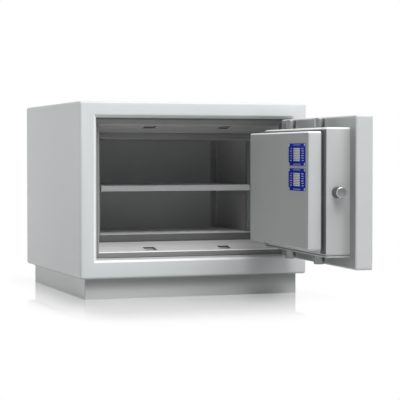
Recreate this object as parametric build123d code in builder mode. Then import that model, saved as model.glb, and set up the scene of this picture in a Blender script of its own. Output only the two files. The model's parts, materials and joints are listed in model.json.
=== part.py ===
from build123d import *
import os
from math import cos, radians, sin

os.makedirs("parts", exist_ok=True)

# Free-standing document safe cabinet. Millimetres, +Z up, front towards -Y.
# The origin lies on the floor under the middle of the body.
# Inside the rebate and on the door, depths are counted from the cabinet's front face.

# Body, outside sizes
body_width = 650.0
body_depth = 640.0
body_height = 474.0
edge_round = 7.0
casing_sheet = 2.0

# Plinth, set back under the body
plinth_height = 56.0
plinth_side_inset = 19.0
plinth_end_inset = 27.0
plinth_sheet = 2.0
plinth_flange = 26.0
plinth_corner = 4.0

# Door opening in the front face, measured inside its bevel
frame_side = 46.0
frame_top = 43.0
frame_bottom = 49.0
bevel = 5.0

# Rebate behind the opening: a square recess, a first step, a taper and a second step
recess_depth = 47.0
first_step = 19.0
taper_end_depth = 152.0
taper_end_inset = 39.5
second_step_side = 12.0
second_step_top = 16.5
second_step_bottom = 20.5
lining_sheet = 2.0

# Inner container
container_sheet = 1.5
container_rear_depth = 517.0

# Shelf, its slotted rails and clips
shelf_rise = 136.0
shelf_thick = 16.0
shelf_sheet = 1.5
shelf_front_depth = 165.0
shelf_rear_gap = 22.0
shelf_side_gap = 7.0
rail_width = 15.0
rail_proud = 6.0
rail_sheet = 1.5
rail_end_gap = 6.0
rail_front_setback = 31.0
rail_rear_setback = 35.0
slot_pitch = 26.0
slot_height = 10.0
slot_width = 5.0
clip_width = 12.0
clip_reach = 12.0
clip_height = 12.0
clip_sheet = 1.5

# Door leaf and the two tiers behind it
door_open = 86.6
door_gap = 4.0
leaf_thick = 44.0
leaf_inner_round = 6.0
leaf_front_round = 2.5
door_sheet = 2.0
housing_depth = 65.0
housing_hinge_inset = 44.0
housing_latch_inset = 37.0
housing_rise_inset = 29.5
groove_depth = 6.0
groove_inset = 8.0
seal_size = 3.0
seal_inset = 3.5
cover_depth = 32.5
cover_latch_step = 13.0
cover_top_step = 9.5
cover_bottom_step = 17.0
tier_round = 7.0

# Hinges
hinge_side = 14.5
hinge_front = 9.5
barrel_diameter = 16.0
pin_diameter = 8.0
knuckle_length = 32.0
hinge_washer = 1.0
hinge_from_end = 75.0
hinge_plate = 4.0
hinge_plate_height = 44.0
hinge_frame_reach = 21.0
hinge_door_reach = 64.0
hinge_screw_head = 9.0
hinge_screw_shank = 5.0
hinge_screw_length = 14.0
running_clearance = 0.05

# Bolts, their bushes and their pockets in the frame
bolt_diameter = 27.0
bolt_length = 72.0
bolt_depth = 75.0
bolt_throw = 24.0
bolt_rest_proud = 1.0
bolt_half_spacing = 108.0
bolt_end_round = 2.0
bush_wall = 3.0
bush_length = 18.0
pocket_width = 31.0
pocket_sheet = 1.5
pocket_end_gap = 4.0

# Boltwork: a turning disc whose pins drive three carriers in slots
spindle_from_latch = 165.0
handle_turn = 60.0
boltwork_plate_sheet = 3.0
boltwork_plate_inset = 14.0
carrier_sheet = 5.0
carrier_flange = 22.0
carrier_margin = 3.0
bolt_screw_head = 13.0
bolt_screw_height = 6.0
layer_gap = 1.5
plate_clearance = 3.0
pin_end = 2.0
disc_thick = 6.0
disc_rim = 4.5
crank_pin = 8.0
slot_play = 0.5
slot_land = 8.0
spindle_square = 8.0
spindle_round = 14.0
spindle_bush_wall = 2.5

# Handle on the front of the door
rose_diameter = 54.0
rose_thick = 6.0
hub_diameter = 26.0
hub_length = 30.0
lever_length = 108.0
lever_width = 20.0
lever_thick = 9.0
handle_gap = 0.4

# Lock beside the boltwork and its keyhole on the front
lock_from_spindle = 78.0
lock_rise = 20.0
lock_height = 80.0
lock_width = 65.0
lock_depth = 28.0
lock_bolt_height = 16.0
lock_bolt_thick = 12.0
lock_bolt_length = 44.0
lock_throw = 12.0
lock_bolt_rise = 14.0
lock_gap = 2.0
lock_fit = 0.3
notch_play = 1.5
lock_screw_head = 8.0
lock_screw_height = 3.0
keyhole_bore = 9.0
keyhole_slot = 4.0
keyhole_drop = 11.0
escutcheon_width = 30.0
escutcheon_height = 62.0
escutcheon_thick = 3.0
cover_plate_thick = 2.5
cover_pivot_rise = 21.0
cover_pivot_diameter = 5.0

# Blue test plates on the inside of the door
plate_width = 121.0
plate_height = 54.5
plate_thick = 1.0
plate_gap = 7.0
plate_from_latch = 18.0
plate_top_drop = 29.0
field_width = 47.0
field_height = 33.0
field_thick = 0.4
field_ribs = 6
rivet_diameter = 4.0
rivet_height = 1.2
rivet_inset = 4.0

# Screws
plinth_screw_size = 13.0
plinth_screw_height = 5.5
plate_screw_diameter = 9.0
plate_screw_height = 4.0

# Heights and places that follow
body_bottom = plinth_height
body_top = plinth_height + body_height
body_middle = (body_bottom + body_top) / 2
front_y = -body_depth / 2
opening_width = body_width - 2 * frame_side
opening_bottom = body_bottom + frame_bottom
opening_top = body_top - frame_top
opening_height = opening_top - opening_bottom
opening_middle = (opening_bottom + opening_top) / 2
inner_half_width = opening_width / 2 - taper_end_inset - second_step_side
inner_bottom = opening_bottom + taper_end_inset + second_step_bottom
inner_top = opening_top - taper_end_inset - second_step_top
inner_height = inner_top - inner_bottom
inner_middle = (inner_bottom + inner_top) / 2
taper_slope = (taper_end_inset - first_step) / (taper_end_depth - recess_depth)


def front_plane(depth):
    """Upright plane behind the cabinet's front face; sketches on it see X and Z."""
    return Plane(origin=(0, front_y + depth, 0), x_dir=(1, 0, 0), z_dir=(0, -1, 0))


def inset_at(depth):
    """How far the tapered rebate stands in from the opening's edge at a depth."""
    return first_step + (depth - recess_depth) * taper_slope


def rebate_room(grow, mode):
    """Fill the rebate and the container behind it, grown outwards by grow."""
    with BuildSketch(front_plane(bevel)) as mouth:
        with Locations((0, opening_middle)):
            Rectangle(opening_width + 2 * grow, opening_height + 2 * grow)
    extrude(mouth.sketch, amount=-(recess_depth + grow - bevel), mode=mode)
    near = 2 * (inset_at(recess_depth + grow) - grow)
    far = 2 * (inset_at(taper_end_depth + grow) - grow)
    with BuildSketch(front_plane(recess_depth + grow)) as taper_start:
        with Locations((0, opening_middle)):
            Rectangle(opening_width - near, opening_height - near)
    with BuildSketch(front_plane(taper_end_depth + grow)) as taper_end:
        with Locations((0, opening_middle)):
            Rectangle(opening_width - far, opening_height - far)
    loft([taper_start.sketch, taper_end.sketch], ruled=True, mode=mode)


def inner_room(near, far, grow, mode):
    """Fill the container between two depths, grown outwards by grow."""
    with BuildSketch(front_plane(near)) as section:
        with Locations((0, inner_middle)):
            Rectangle(2 * (inner_half_width + grow), inner_height + 2 * grow)
    extrude(section.sketch, amount=-(far - near), mode=mode)


# Door frame of reference: s runs from the leaf's hinge edge to its latch edge, t from
# the leaf's front face into the cabinet, and z is the height above the floor.
leaf_width = opening_width - 2 * door_gap
leaf_height = opening_height - 2 * door_gap
leaf_bottom = opening_bottom + door_gap
leaf_top = opening_top - door_gap
hinge_x = opening_width / 2 + hinge_side
hinge_y = front_y - hinge_front
swing = radians(door_open)
along = (-cos(swing), -sin(swing), 0.0)
inward = (-sin(swing), cos(swing), 0.0)
hinge_s = -(door_gap + hinge_side)
hinge_t = -hinge_front


def door_point(s, t, z):
    """Place of a door point in the cabinet's frame, with the door standing open."""
    ds, dt = s - hinge_s, t - hinge_t
    x = hinge_x + ds * along[0] + dt * inward[0]
    y = hinge_y + ds * along[1] + dt * inward[1]
    return (x, y, z)


def leaf_plane(t):
    """Plane across the door at depth t; sketches see s and z, extrusions go inward."""
    return Plane(origin=door_point(0, t, 0), x_dir=along, z_dir=inward)


def level_plane(z):
    """Level plane on the door; sketches see s and t, extrusions go down."""
    return Plane(origin=door_point(0, 0, z), x_dir=along, z_dir=(0, 0, -1))


def latch_plane(s):
    """Plane square to the door's width; sketches see t and z, extrusions go to the hinge."""
    back = (-along[0], -along[1], 0.0)
    return Plane(origin=door_point(s, 0, 0), x_dir=inward, z_dir=back)


def block(s0, s1, t0, t1, z0, z1, mode=Mode.ADD):
    """Box between door depths t0 and t1."""
    with BuildSketch(leaf_plane(t0)) as section:
        with Locations(((s0 + s1) / 2, (z0 + z1) / 2)):
            Rectangle(s1 - s0, z1 - z0)
    extrude(section.sketch, amount=t1 - t0, mode=mode)


def rod(s, z, diameter, t0, t1, mode=Mode.ADD):
    """Round bar square to the door between depths t0 and t1."""
    with BuildSketch(leaf_plane(t0)) as section:
        with Locations((s, z)):
            Circle(diameter / 2)
    extrude(section.sketch, amount=t1 - t0, mode=mode)


def post(s, t, diameter, z0, z1, mode=Mode.ADD):
    """Upright round bar on the door between heights z0 and z1."""
    with BuildSketch(level_plane(z1)) as section:
        with Locations((s, t)):
            Circle(diameter / 2)
    extrude(section.sketch, amount=z1 - z0, mode=mode)


def save(part, label):
    part.label = label
    export_step(part, "parts/" + label + ".step")


# Tier outlines on the door
housing_s0 = housing_hinge_inset
housing_s1 = leaf_width - housing_latch_inset
housing_z0 = leaf_bottom + housing_rise_inset
housing_z1 = leaf_top - housing_rise_inset
housing_end = leaf_thick + housing_depth
cover_s0 = housing_s0
cover_s1 = housing_s1 - cover_latch_step
cover_z0 = housing_z0 + cover_bottom_step
cover_z1 = housing_z1 - cover_top_step
cover_start = housing_end + groove_depth
cover_end = cover_start + cover_depth
spindle_s = leaf_width - spindle_from_latch
spindle_z = opening_middle

# Outer casing: one folded skin with rounded edges, open at the back
with BuildPart() as casing_room:
    with BuildSketch(front_plane(casing_sheet)):
        with Locations((0, body_middle)):
            RectangleRounded(body_width - 2 * casing_sheet, body_height - 2 * casing_sheet,
                             edge_round - casing_sheet + 0.5)
    extrude(amount=-(body_depth - casing_sheet))
    fillet(casing_room.faces().sort_by(Axis.Y)[0].edges(), edge_round - casing_sheet)

with BuildPart() as outer_casing:
    with BuildSketch(front_plane(0)):
        with Locations((0, body_middle)):
            RectangleRounded(body_width, body_height, edge_round + 0.5)
    extrude(amount=-body_depth)
    fillet(outer_casing.faces().sort_by(Axis.Y)[0].edges(), edge_round)
    add(casing_room.part, mode=Mode.SUBTRACT)
    with BuildSketch(front_plane(casing_sheet)):
        with Locations((0, opening_middle)):
            Rectangle(opening_width + 2 * bevel, opening_height + 2 * bevel)
    extrude(amount=-(bevel - casing_sheet))
    with BuildSketch(front_plane(0)):
        with Locations((0, opening_middle)):
            Rectangle(opening_width + 2 * bevel, opening_height + 2 * bevel)
    with BuildSketch(front_plane(bevel)):
        with Locations((0, opening_middle)):
            Rectangle(opening_width, opening_height)
    loft(ruled=True, mode=Mode.SUBTRACT)
save(outer_casing.part, "outer_casing")

# Rear panel, let in flush with the casing's back edge
with BuildPart() as rear_panel:
    with BuildSketch(front_plane(body_depth - casing_sheet)):
        with Locations((0, body_middle)):
            RectangleRounded(body_width - 2 * casing_sheet, body_height - 2 * casing_sheet,
                             edge_round - casing_sheet + 0.5)
    extrude(amount=-casing_sheet)
save(rear_panel.part, "rear_panel")

# Bolt pockets: square cups behind the taper, where the thrown bolts stand
pocket_outer = pocket_width + 2 * pocket_sheet
bolt_reach = bolt_rest_proud + bolt_throw
bolt_s = [leaf_width / 2 - bolt_half_spacing, leaf_width / 2 + bolt_half_spacing]
closed_x = [opening_width / 2 - door_gap - s for s in bolt_s]
top_tip = housing_z1 + bolt_reach
bottom_tip = housing_z0 - bolt_reach
latch_tip_x = opening_width / 2 - door_gap - (housing_s1 + bolt_reach)


def pocket_blocks(width, end_gap, mode):
    """Upright blocks for the four bolt pockets, as far as the tips plus end_gap."""
    rise_start = opening_top - inset_at(bolt_depth + pocket_outer)
    fall_start = opening_bottom + inset_at(bolt_depth + pocket_outer)
    for x in closed_x:
        with BuildSketch(front_plane(bolt_depth - width / 2)) as sections:
            with Locations((x, (rise_start + top_tip + end_gap) / 2)):
                Rectangle(width, top_tip + end_gap - rise_start)
            with Locations((x, (fall_start + bottom_tip - end_gap) / 2)):
                Rectangle(width, fall_start - bottom_tip + end_gap)
        extrude(sections.sketch, amount=-width, mode=mode)


def latch_block(width, end_gap, mode):
    """Block for the latch bolt's pocket, as far as its tip plus end_gap."""
    start = -opening_width / 2 + inset_at(bolt_depth + pocket_outer)
    end = latch_tip_x - end_gap
    with BuildSketch(front_plane(bolt_depth - width / 2)) as section:
        with Locations(((start + end) / 2, opening_middle)):
            Rectangle(start - end, width)
    extrude(section.sketch, amount=-width, mode=mode)


with BuildPart() as bolt_pockets:
    pocket_blocks(pocket_outer, pocket_end_gap + pocket_sheet, Mode.ADD)
    pocket_blocks(pocket_width, pocket_end_gap, Mode.SUBTRACT)
    rebate_room(0, Mode.SUBTRACT)
save(bolt_pockets.part, "bolt_pockets")

with BuildPart() as latch_pocket:
    latch_block(pocket_outer, pocket_end_gap + pocket_sheet, Mode.ADD)
    latch_block(pocket_width, pocket_end_gap, Mode.SUBTRACT)
    rebate_room(0, Mode.SUBTRACT)
save(latch_pocket.part, "latch_pocket")

# Rebate lining: the stepped and tapered sheet round the opening
with BuildPart() as rebate_lining:
    rebate_room(lining_sheet, Mode.ADD)
    rebate_room(0, Mode.SUBTRACT)
    inner_room(recess_depth, taper_end_depth + 2 * lining_sheet, 0, Mode.SUBTRACT)
    pocket_blocks(pocket_outer, pocket_end_gap + pocket_sheet, Mode.SUBTRACT)
    latch_block(pocket_outer, pocket_end_gap + pocket_sheet, Mode.SUBTRACT)
save(rebate_lining.part, "rebate_lining")

# Inner container, open towards the door
container_front_depth = taper_end_depth + lining_sheet
with BuildPart() as inner_container:
    inner_room(container_front_depth, container_rear_depth + container_sheet, container_sheet, Mode.ADD)
    inner_room(taper_end_depth, container_rear_depth, 0, Mode.SUBTRACT)
save(inner_container.part, "inner_container")

# Fire-resistant boards between the skins, cut round the rebate and the container
board_side = inner_half_width + container_sheet
board_top = inner_top + container_sheet
board_bottom = inner_bottom - container_sheet
room_half_width = body_width / 2 - casing_sheet
room_top = body_top - casing_sheet
room_bottom = body_bottom + casing_sheet
room_rear = body_depth - casing_sheet
board_rear = container_rear_depth + container_sheet
boards = {
    "insulation_top": (-room_half_width, room_half_width, board_top, room_top, casing_sheet, room_rear),
    "insulation_bottom": (-room_half_width, room_half_width, room_bottom, board_bottom, casing_sheet,
                          room_rear),
    "insulation_left": (-room_half_width, -board_side, board_bottom, board_top, casing_sheet, room_rear),
    "insulation_right": (board_side, room_half_width, board_bottom, board_top, casing_sheet, room_rear),
    "insulation_rear": (-board_side, board_side, board_bottom, board_top, board_rear, room_rear),
}
for name, (x0, x1, z0, z1, near, far) in boards.items():
    with BuildPart() as board:
        with BuildSketch(front_plane(near)):
            with Locations(((x0 + x1) / 2, (z0 + z1) / 2)):
                Rectangle(x1 - x0, z1 - z0)
        extrude(amount=-(far - near))
        add(casing_room.part, mode=Mode.INTERSECT)
        rebate_room(lining_sheet, Mode.SUBTRACT)
        inner_room(container_front_depth, board_rear, container_sheet, Mode.SUBTRACT)
        with BuildSketch(front_plane(casing_sheet)):
            with Locations((0, opening_middle)):
                Rectangle(opening_width + 2 * bevel, opening_height + 2 * bevel)
        extrude(amount=-(bevel - casing_sheet), mode=Mode.SUBTRACT)
        pocket_blocks(pocket_outer, pocket_end_gap + pocket_sheet, Mode.SUBTRACT)
        latch_block(pocket_outer, pocket_end_gap + pocket_sheet, Mode.SUBTRACT)
    save(board.part, name)

# Plinth: a folded ring with an inward flange on which the body stands
plinth_width = body_width - 2 * plinth_side_inset
plinth_length = body_depth - 2 * plinth_end_inset
with BuildPart() as plinth:
    with BuildSketch():
        RectangleRounded(plinth_width, plinth_length, plinth_corner)
        Rectangle(plinth_width - 2 * plinth_sheet, plinth_length - 2 * plinth_sheet, mode=Mode.SUBTRACT)
    extrude(amount=plinth_height)
    with BuildSketch(Plane.XY.offset(plinth_height - plinth_sheet)):
        RectangleRounded(plinth_width, plinth_length, plinth_corner)
        Rectangle(plinth_width - 2 * plinth_flange, plinth_length - 2 * plinth_flange, mode=Mode.SUBTRACT)
    extrude(amount=plinth_sheet)
save(plinth.part, "plinth")

# Hexagon screws up through the plinth flange into the body
flange_line = (plinth_flange + plinth_sheet) / 2
with BuildPart() as plinth_screws:
    with BuildSketch(Plane.XY.offset(plinth_height - plinth_sheet - plinth_screw_height)):
        with GridLocations(plinth_width - 2 * flange_line, plinth_length / 2, 2, 2):
            RegularPolygon(plinth_screw_size / 2, 6, major_radius=False)
    extrude(amount=plinth_screw_height)
save(plinth_screws.part, "plinth_screws")

# Slotted rails on the container's side walls, two a side
rail_bottom = inner_bottom + rail_end_gap
rail_top = inner_top - rail_end_gap
rail_height = rail_top - rail_bottom
shelf_rear_depth = container_rear_depth - shelf_rear_gap
shelf_depth = shelf_rear_depth - shelf_front_depth
rail_depths = [shelf_front_depth + rail_front_setback, shelf_rear_depth - rail_rear_setback]
slot_rows = int((rail_height - 2 * slot_height) / slot_pitch)
shelf_top = inner_bottom + shelf_rise
shelf_under = shelf_top - shelf_thick

with BuildPart() as shelf_rails:
    for side in (-1, 1):
        wall = side * inner_half_width
        for depth in rail_depths:
            near = depth - rail_width / 2
            with BuildSketch(front_plane(near)):
                with Locations((wall - side * rail_proud / 2, (rail_bottom + rail_top) / 2)):
                    Rectangle(rail_proud, rail_height)
            extrude(amount=-rail_width)
            with BuildSketch(front_plane(near + rail_sheet)):
                with Locations((wall - side * (rail_proud - rail_sheet) / 2, (rail_bottom + rail_top) / 2)):
                    Rectangle(rail_proud - rail_sheet, rail_height)
            extrude(amount=-(rail_width - 2 * rail_sheet), mode=Mode.SUBTRACT)
            with BuildSketch(front_plane(depth - slot_width / 2)):
                for row in range(-slot_rows, slot_rows + 1):
                    slot_z = shelf_under - clip_height / 2 + row * slot_pitch
                    if rail_bottom + slot_height < slot_z < rail_top - slot_height:
                        with Locations((wall - side * (rail_proud - rail_sheet / 2), slot_z)):
                            Rectangle(2 * rail_sheet, slot_height)
            extrude(amount=-slot_width, mode=Mode.SUBTRACT)
save(shelf_rails.part, "shelf_rails")

# Angle clips that hook into the rails and carry the shelf
rail_face = inner_half_width - rail_proud
with BuildPart() as shelf_clips:
    for side in (-1, 1):
        for depth in rail_depths:
            with BuildSketch(front_plane(depth - clip_width / 2)):
                with Locations((side * (rail_face - clip_sheet / 2), shelf_under - clip_height / 2)):
                    Rectangle(clip_sheet, clip_height)
                with Locations((side * (rail_face - clip_reach / 2), shelf_under - clip_sheet / 2)):
                    Rectangle(clip_reach, clip_sheet)
            extrude(amount=-clip_width)
            with BuildSketch(front_plane(depth - slot_width / 2 + lock_fit)):
                with Locations((side * rail_face, shelf_under - clip_height / 2)):
                    Rectangle(2 * rail_sheet, slot_height - 2 * lock_fit)
            extrude(amount=-(slot_width - 2 * lock_fit))
save(shelf_clips.part, "shelf_clips")

# Shelf: a tray folded down on all four sides, lying on the clips
shelf_width = 2 * (inner_half_width - shelf_side_gap)
with BuildPart() as shelf:
    with BuildSketch(front_plane(shelf_front_depth)):
        with Locations((0, (shelf_top + shelf_under) / 2)):
            Rectangle(shelf_width, shelf_thick)
    extrude(amount=-shelf_depth)
    fillet(shelf.faces().sort_by(Axis.Z)[-1].edges(), shelf_sheet)
    with BuildSketch(front_plane(shelf_front_depth + shelf_sheet)):
        with Locations((0, (shelf_top - shelf_sheet + shelf_under) / 2)):
            Rectangle(shelf_width - 2 * shelf_sheet, shelf_thick - shelf_sheet)
    extrude(amount=-(shelf_depth - 2 * shelf_sheet), mode=Mode.SUBTRACT)
save(shelf.part, "shelf")

# Hinges: a knuckle and plate on the frame, a knuckle and strap on the leaf, and a pin.
# The closed leaf's straps lie in line with the frame plates; each rides its own body.
hinge_heights = [leaf_bottom + hinge_from_end, leaf_top - hinge_from_end]
barrel_bore = pin_diameter + 2 * running_clearance
with BuildPart() as hinge_frame_plates:
    for z in hinge_heights:
        with BuildSketch(Plane.XY.offset(z - knuckle_length)):
            with Locations((hinge_x, hinge_y)):
                Circle(barrel_diameter / 2)
            with Locations((hinge_x + hinge_frame_reach / 2, front_y - hinge_plate / 2)):
                Rectangle(hinge_frame_reach, hinge_plate)
            with Locations((hinge_x, hinge_y)):
                Circle(barrel_bore / 2, mode=Mode.SUBTRACT)
        extrude(amount=knuckle_length)
save(hinge_frame_plates.part, "hinge_frame_plates")

with BuildPart() as hinge_pins:
    for z in hinge_heights:
        with BuildSketch(Plane.XY.offset(z - knuckle_length)):
            with Locations((hinge_x, hinge_y)):
                Circle(pin_diameter / 2)
        extrude(amount=2 * knuckle_length + hinge_washer)
        with BuildSketch(Plane.XY.offset(z - knuckle_length - hinge_washer)):
            with Locations((hinge_x, hinge_y)):
                Circle(barrel_diameter / 2 - hinge_washer)
        extrude(amount=hinge_washer)
save(hinge_pins.part, "hinge_pins")

with BuildPart() as hinge_washers:
    for z in hinge_heights:
        with BuildSketch(Plane.XY.offset(z)):
            with Locations((hinge_x, hinge_y)):
                Circle(barrel_diameter / 2)
                Circle(barrel_bore / 2, mode=Mode.SUBTRACT)
        extrude(amount=hinge_washer)
save(hinge_washers.part, "hinge_washers")

# Screws through the leaf straps: countersunk heads in line along each strap
strap_z = [z + hinge_washer + running_clearance + knuckle_length / 2 for z in hinge_heights]
strap_screw_s = [hinge_s + hinge_door_reach - hinge_screw_head * n for n in (1, 3)]
with BuildPart() as hinge_leaf_straps:
    for z in hinge_heights:
        low = z + hinge_washer + running_clearance
        with BuildSketch(level_plane(low + knuckle_length)):
            with Locations((hinge_s, hinge_t)):
                Circle(barrel_diameter / 2)
            with Locations((hinge_s + hinge_door_reach / 2, -hinge_plate / 2)):
                Rectangle(hinge_door_reach, hinge_plate)
            with Locations((hinge_s, hinge_t)):
                Circle(barrel_bore / 2, mode=Mode.SUBTRACT)
        extrude(amount=knuckle_length)
    for z in strap_z:
        for s in strap_screw_s:
            rod(s, z, hinge_screw_shank, -hinge_plate, 0, Mode.SUBTRACT)
            with BuildSketch(leaf_plane(-hinge_plate)):
                with Locations((s, z)):
                    Circle(hinge_screw_head / 2)
            extrude(amount=(hinge_screw_head - hinge_screw_shank) / 2, taper=45, mode=Mode.SUBTRACT)
save(hinge_leaf_straps.part, "hinge_leaf_straps")

with BuildPart() as hinge_screws:
    for z in strap_z:
        for s in strap_screw_s:
            rod(s, z, hinge_screw_shank, -hinge_plate, hinge_screw_length - hinge_plate)
            with BuildSketch(leaf_plane(-hinge_plate)):
                with Locations((s, z)):
                    Circle(hinge_screw_head / 2)
            extrude(amount=(hinge_screw_head - hinge_screw_shank) / 2, taper=45)
save(hinge_screws.part, "hinge_screws")


door_axis = Axis(door_point(0, 0, 0), inward)
corner_ease = 0.9


def rounded_form(s0, s1, t0, t1, z0, z1, inner_round, front_round):
    """Door box with its long edges and its inner face rounded, and its front if asked."""
    with BuildPart() as form:
        with BuildSketch(leaf_plane(t0)):
            with Locations(((s0 + s1) / 2, (z0 + z1) / 2)):
                Rectangle(s1 - s0, z1 - z0)
        extrude(amount=t1 - t0)
        fillet(form.edges().filter_by(door_axis), inner_round)
        fillet(form.faces().sort_by(door_axis)[-1].edges(), inner_round * corner_ease)
        if front_round:
            fillet(form.faces().sort_by(door_axis)[0].edges(), front_round)
    return form.part


# Spindle bush and key tube cross the leaf; both holes go through its skins and board
bush_bore = spindle_round + 2 * running_clearance
bush_outer = spindle_round + 2 * spindle_bush_wall
plate_inner = leaf_thick + boltwork_plate_sheet
lock_s = spindle_s - lock_from_spindle
lock_z = spindle_z + lock_rise
key_tube_outer = keyhole_bore + 2 * keyhole_drop

leaf_form = rounded_form(0, leaf_width, 0, leaf_thick, leaf_bottom, leaf_top, leaf_inner_round,
                         leaf_front_round)
leaf_room = rounded_form(door_sheet, leaf_width - door_sheet, door_sheet, leaf_thick - door_sheet,
                         leaf_bottom + door_sheet, leaf_top - door_sheet, leaf_inner_round - door_sheet, 0)

with BuildPart() as spindle_bush:
    rod(spindle_s, spindle_z, bush_outer, 0, plate_inner)
    rod(spindle_s, spindle_z, bush_bore, 0, plate_inner, Mode.SUBTRACT)
save(spindle_bush.part, "spindle_bush")

with BuildPart() as key_tube:
    rod(lock_s, lock_z, key_tube_outer, 0, plate_inner)
    rod(lock_s, lock_z, key_tube_outer - 2 * container_sheet, 0, plate_inner, Mode.SUBTRACT)
save(key_tube.part, "key_tube")

with BuildPart() as door_leaf:
    add(leaf_form)
    add(leaf_room, mode=Mode.SUBTRACT)
    rod(spindle_s, spindle_z, bush_outer, 0, leaf_thick, Mode.SUBTRACT)
    rod(lock_s, lock_z, key_tube_outer, 0, leaf_thick, Mode.SUBTRACT)
    for z in strap_z:
        for s in strap_screw_s:
            rod(s, z, hinge_screw_shank, 0, door_sheet, Mode.SUBTRACT)
save(door_leaf.part, "door_leaf")

with BuildPart() as leaf_insulation:
    add(leaf_room)
    rod(spindle_s, spindle_z, bush_outer, 0, leaf_thick, Mode.SUBTRACT)
    rod(lock_s, lock_z, key_tube_outer, 0, leaf_thick, Mode.SUBTRACT)
    for z in strap_z:
        for s in strap_screw_s:
            rod(s, z, hinge_screw_shank, 0, hinge_screw_length - hinge_plate, Mode.SUBTRACT)
save(leaf_insulation.part, "leaf_insulation")

# Boltwork housing: the middle tier, a five-sided box standing on the leaf
bush_hole = bolt_diameter + 2 * running_clearance + 2 * bush_wall
housing_form = rounded_form(housing_s0, housing_s1, leaf_thick, housing_end, housing_z0, housing_z1,
                            tier_round, 0)
housing_room = rounded_form(housing_s0 + door_sheet, housing_s1 - door_sheet, leaf_thick,
                            housing_end - door_sheet, housing_z0 + door_sheet, housing_z1 - door_sheet,
                            tier_round - door_sheet, 0)
with BuildPart() as boltwork_housing:
    add(housing_form)
    add(housing_room, mode=Mode.SUBTRACT)
    for s in bolt_s:
        post(s, bolt_depth, bush_hole, housing_z0, housing_z1, Mode.SUBTRACT)
    with BuildSketch(latch_plane(housing_s1)):
        with Locations((bolt_depth, spindle_z)):
            Circle(bush_hole / 2)
    extrude(amount=bush_length, mode=Mode.SUBTRACT)
save(boltwork_housing.part, "boltwork_housing")

with BuildPart() as bolt_bushes:
    for s in bolt_s:
        for low in (housing_z0, housing_z1 - bush_length):
            post(s, bolt_depth, bush_hole, low, low + bush_length)
            post(s, bolt_depth, bolt_diameter + 2 * running_clearance, low, low + bush_length,
                 Mode.SUBTRACT)
save(bolt_bushes.part, "bolt_bushes")

with BuildPart() as latch_bush:
    with BuildSketch(latch_plane(housing_s1)):
        with Locations((bolt_depth, spindle_z)):
            Circle(bush_hole / 2)
            Circle(bolt_diameter / 2 + running_clearance, mode=Mode.SUBTRACT)
    extrude(amount=bush_length)
save(latch_bush.part, "latch_bush")

# Boltwork plate on the leaf, carrying the lock and the bushes' ends
plate_s0 = housing_s0 + boltwork_plate_inset
plate_s1 = housing_s1 - boltwork_plate_inset
plate_z0 = housing_z0 + boltwork_plate_inset
plate_z1 = housing_z1 - boltwork_plate_inset
with BuildPart() as boltwork_plate:
    block(plate_s0, plate_s1, leaf_thick, plate_inner, plate_z0, plate_z1)
    rod(spindle_s, spindle_z, bush_outer, leaf_thick, plate_inner, Mode.SUBTRACT)
    rod(lock_s, lock_z, key_tube_outer, leaf_thick, plate_inner, Mode.SUBTRACT)
save(boltwork_plate.part, "boltwork_plate")

screw_edge = boltwork_plate_inset
with BuildPart() as plate_screws:
    with BuildSketch(leaf_plane(plate_inner)):
        with Locations(((plate_s0 + plate_s1) / 2, (plate_z0 + plate_z1) / 2)):
            with GridLocations(plate_s1 - plate_s0 - 2 * screw_edge, plate_z1 - plate_z0 - 2 * screw_edge,
                               2, 2):
                Circle(plate_screw_diameter / 2)
    extrude(amount=plate_screw_height)
save(plate_screws.part, "plate_screws")

# Thermal break and its seal in the groove between housing and cover
with BuildPart() as groove_board:
    block(cover_s0 + groove_inset, cover_s1 - groove_inset, housing_end, cover_start,
          cover_z0 + groove_inset, cover_z1 - groove_inset)
save(groove_board.part, "groove_board")

with BuildPart() as groove_seal:
    with BuildSketch(leaf_plane(housing_end)):
        with Locations(((cover_s0 + cover_s1) / 2, (cover_z0 + cover_z1) / 2)):
            Rectangle(cover_s1 - cover_s0 - 2 * (groove_inset - seal_size),
                      cover_z1 - cover_z0 - 2 * (groove_inset - seal_size))
            Rectangle(cover_s1 - cover_s0 - 2 * groove_inset, cover_z1 - cover_z0 - 2 * groove_inset,
                      mode=Mode.SUBTRACT)
    extrude(amount=groove_depth)
save(groove_seal.part, "groove_seal")

# Inner cover: the tier nearest the contents, a shell over its own board
cover_form = rounded_form(cover_s0, cover_s1, cover_start, cover_end, cover_z0, cover_z1, tier_round, 0)
cover_room = rounded_form(cover_s0 + door_sheet, cover_s1 - door_sheet, cover_start,
                          cover_end - door_sheet, cover_z0 + door_sheet, cover_z1 - door_sheet,
                          tier_round - door_sheet, 0)
with BuildPart() as inner_cover:
    add(cover_form)
    add(cover_room, mode=Mode.SUBTRACT)
save(inner_cover.part, "inner_cover")

with BuildPart() as cover_insulation:
    add(cover_room)
save(cover_insulation.part, "cover_insulation")

# Test plates on the cover, each with a ribbed field and four rivets
plates_s = cover_s1 - plate_from_latch - plate_width / 2
plates_z = [cover_z1 - plate_top_drop - plate_height / 2 - n * (plate_height + plate_gap) for n in (0, 1)]
with BuildPart() as test_plates:
    for z in plates_z:
        block(plates_s - plate_width / 2, plates_s + plate_width / 2, cover_end, cover_end + plate_thick,
              z - plate_height / 2, z + plate_height / 2)
save(test_plates.part, "test_plates")

rib_pitch = field_height / field_ribs
with BuildPart() as plate_fields:
    for z in plates_z:
        block(plates_s - field_width / 2, plates_s + field_width / 2, cover_end + plate_thick,
              cover_end + plate_thick + field_thick, z - field_height / 2, z + field_height / 2)
        for n in range(field_ribs):
            rib_z = z - field_height / 2 + (n + 0.5) * rib_pitch
            block(plates_s - field_width / 2, plates_s + field_width / 2,
                  cover_end + plate_thick + field_thick, cover_end + plate_thick + 2 * field_thick,
                  rib_z - rib_pitch / 4, rib_z + rib_pitch / 4)
save(plate_fields.part, "plate_fields")

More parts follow.
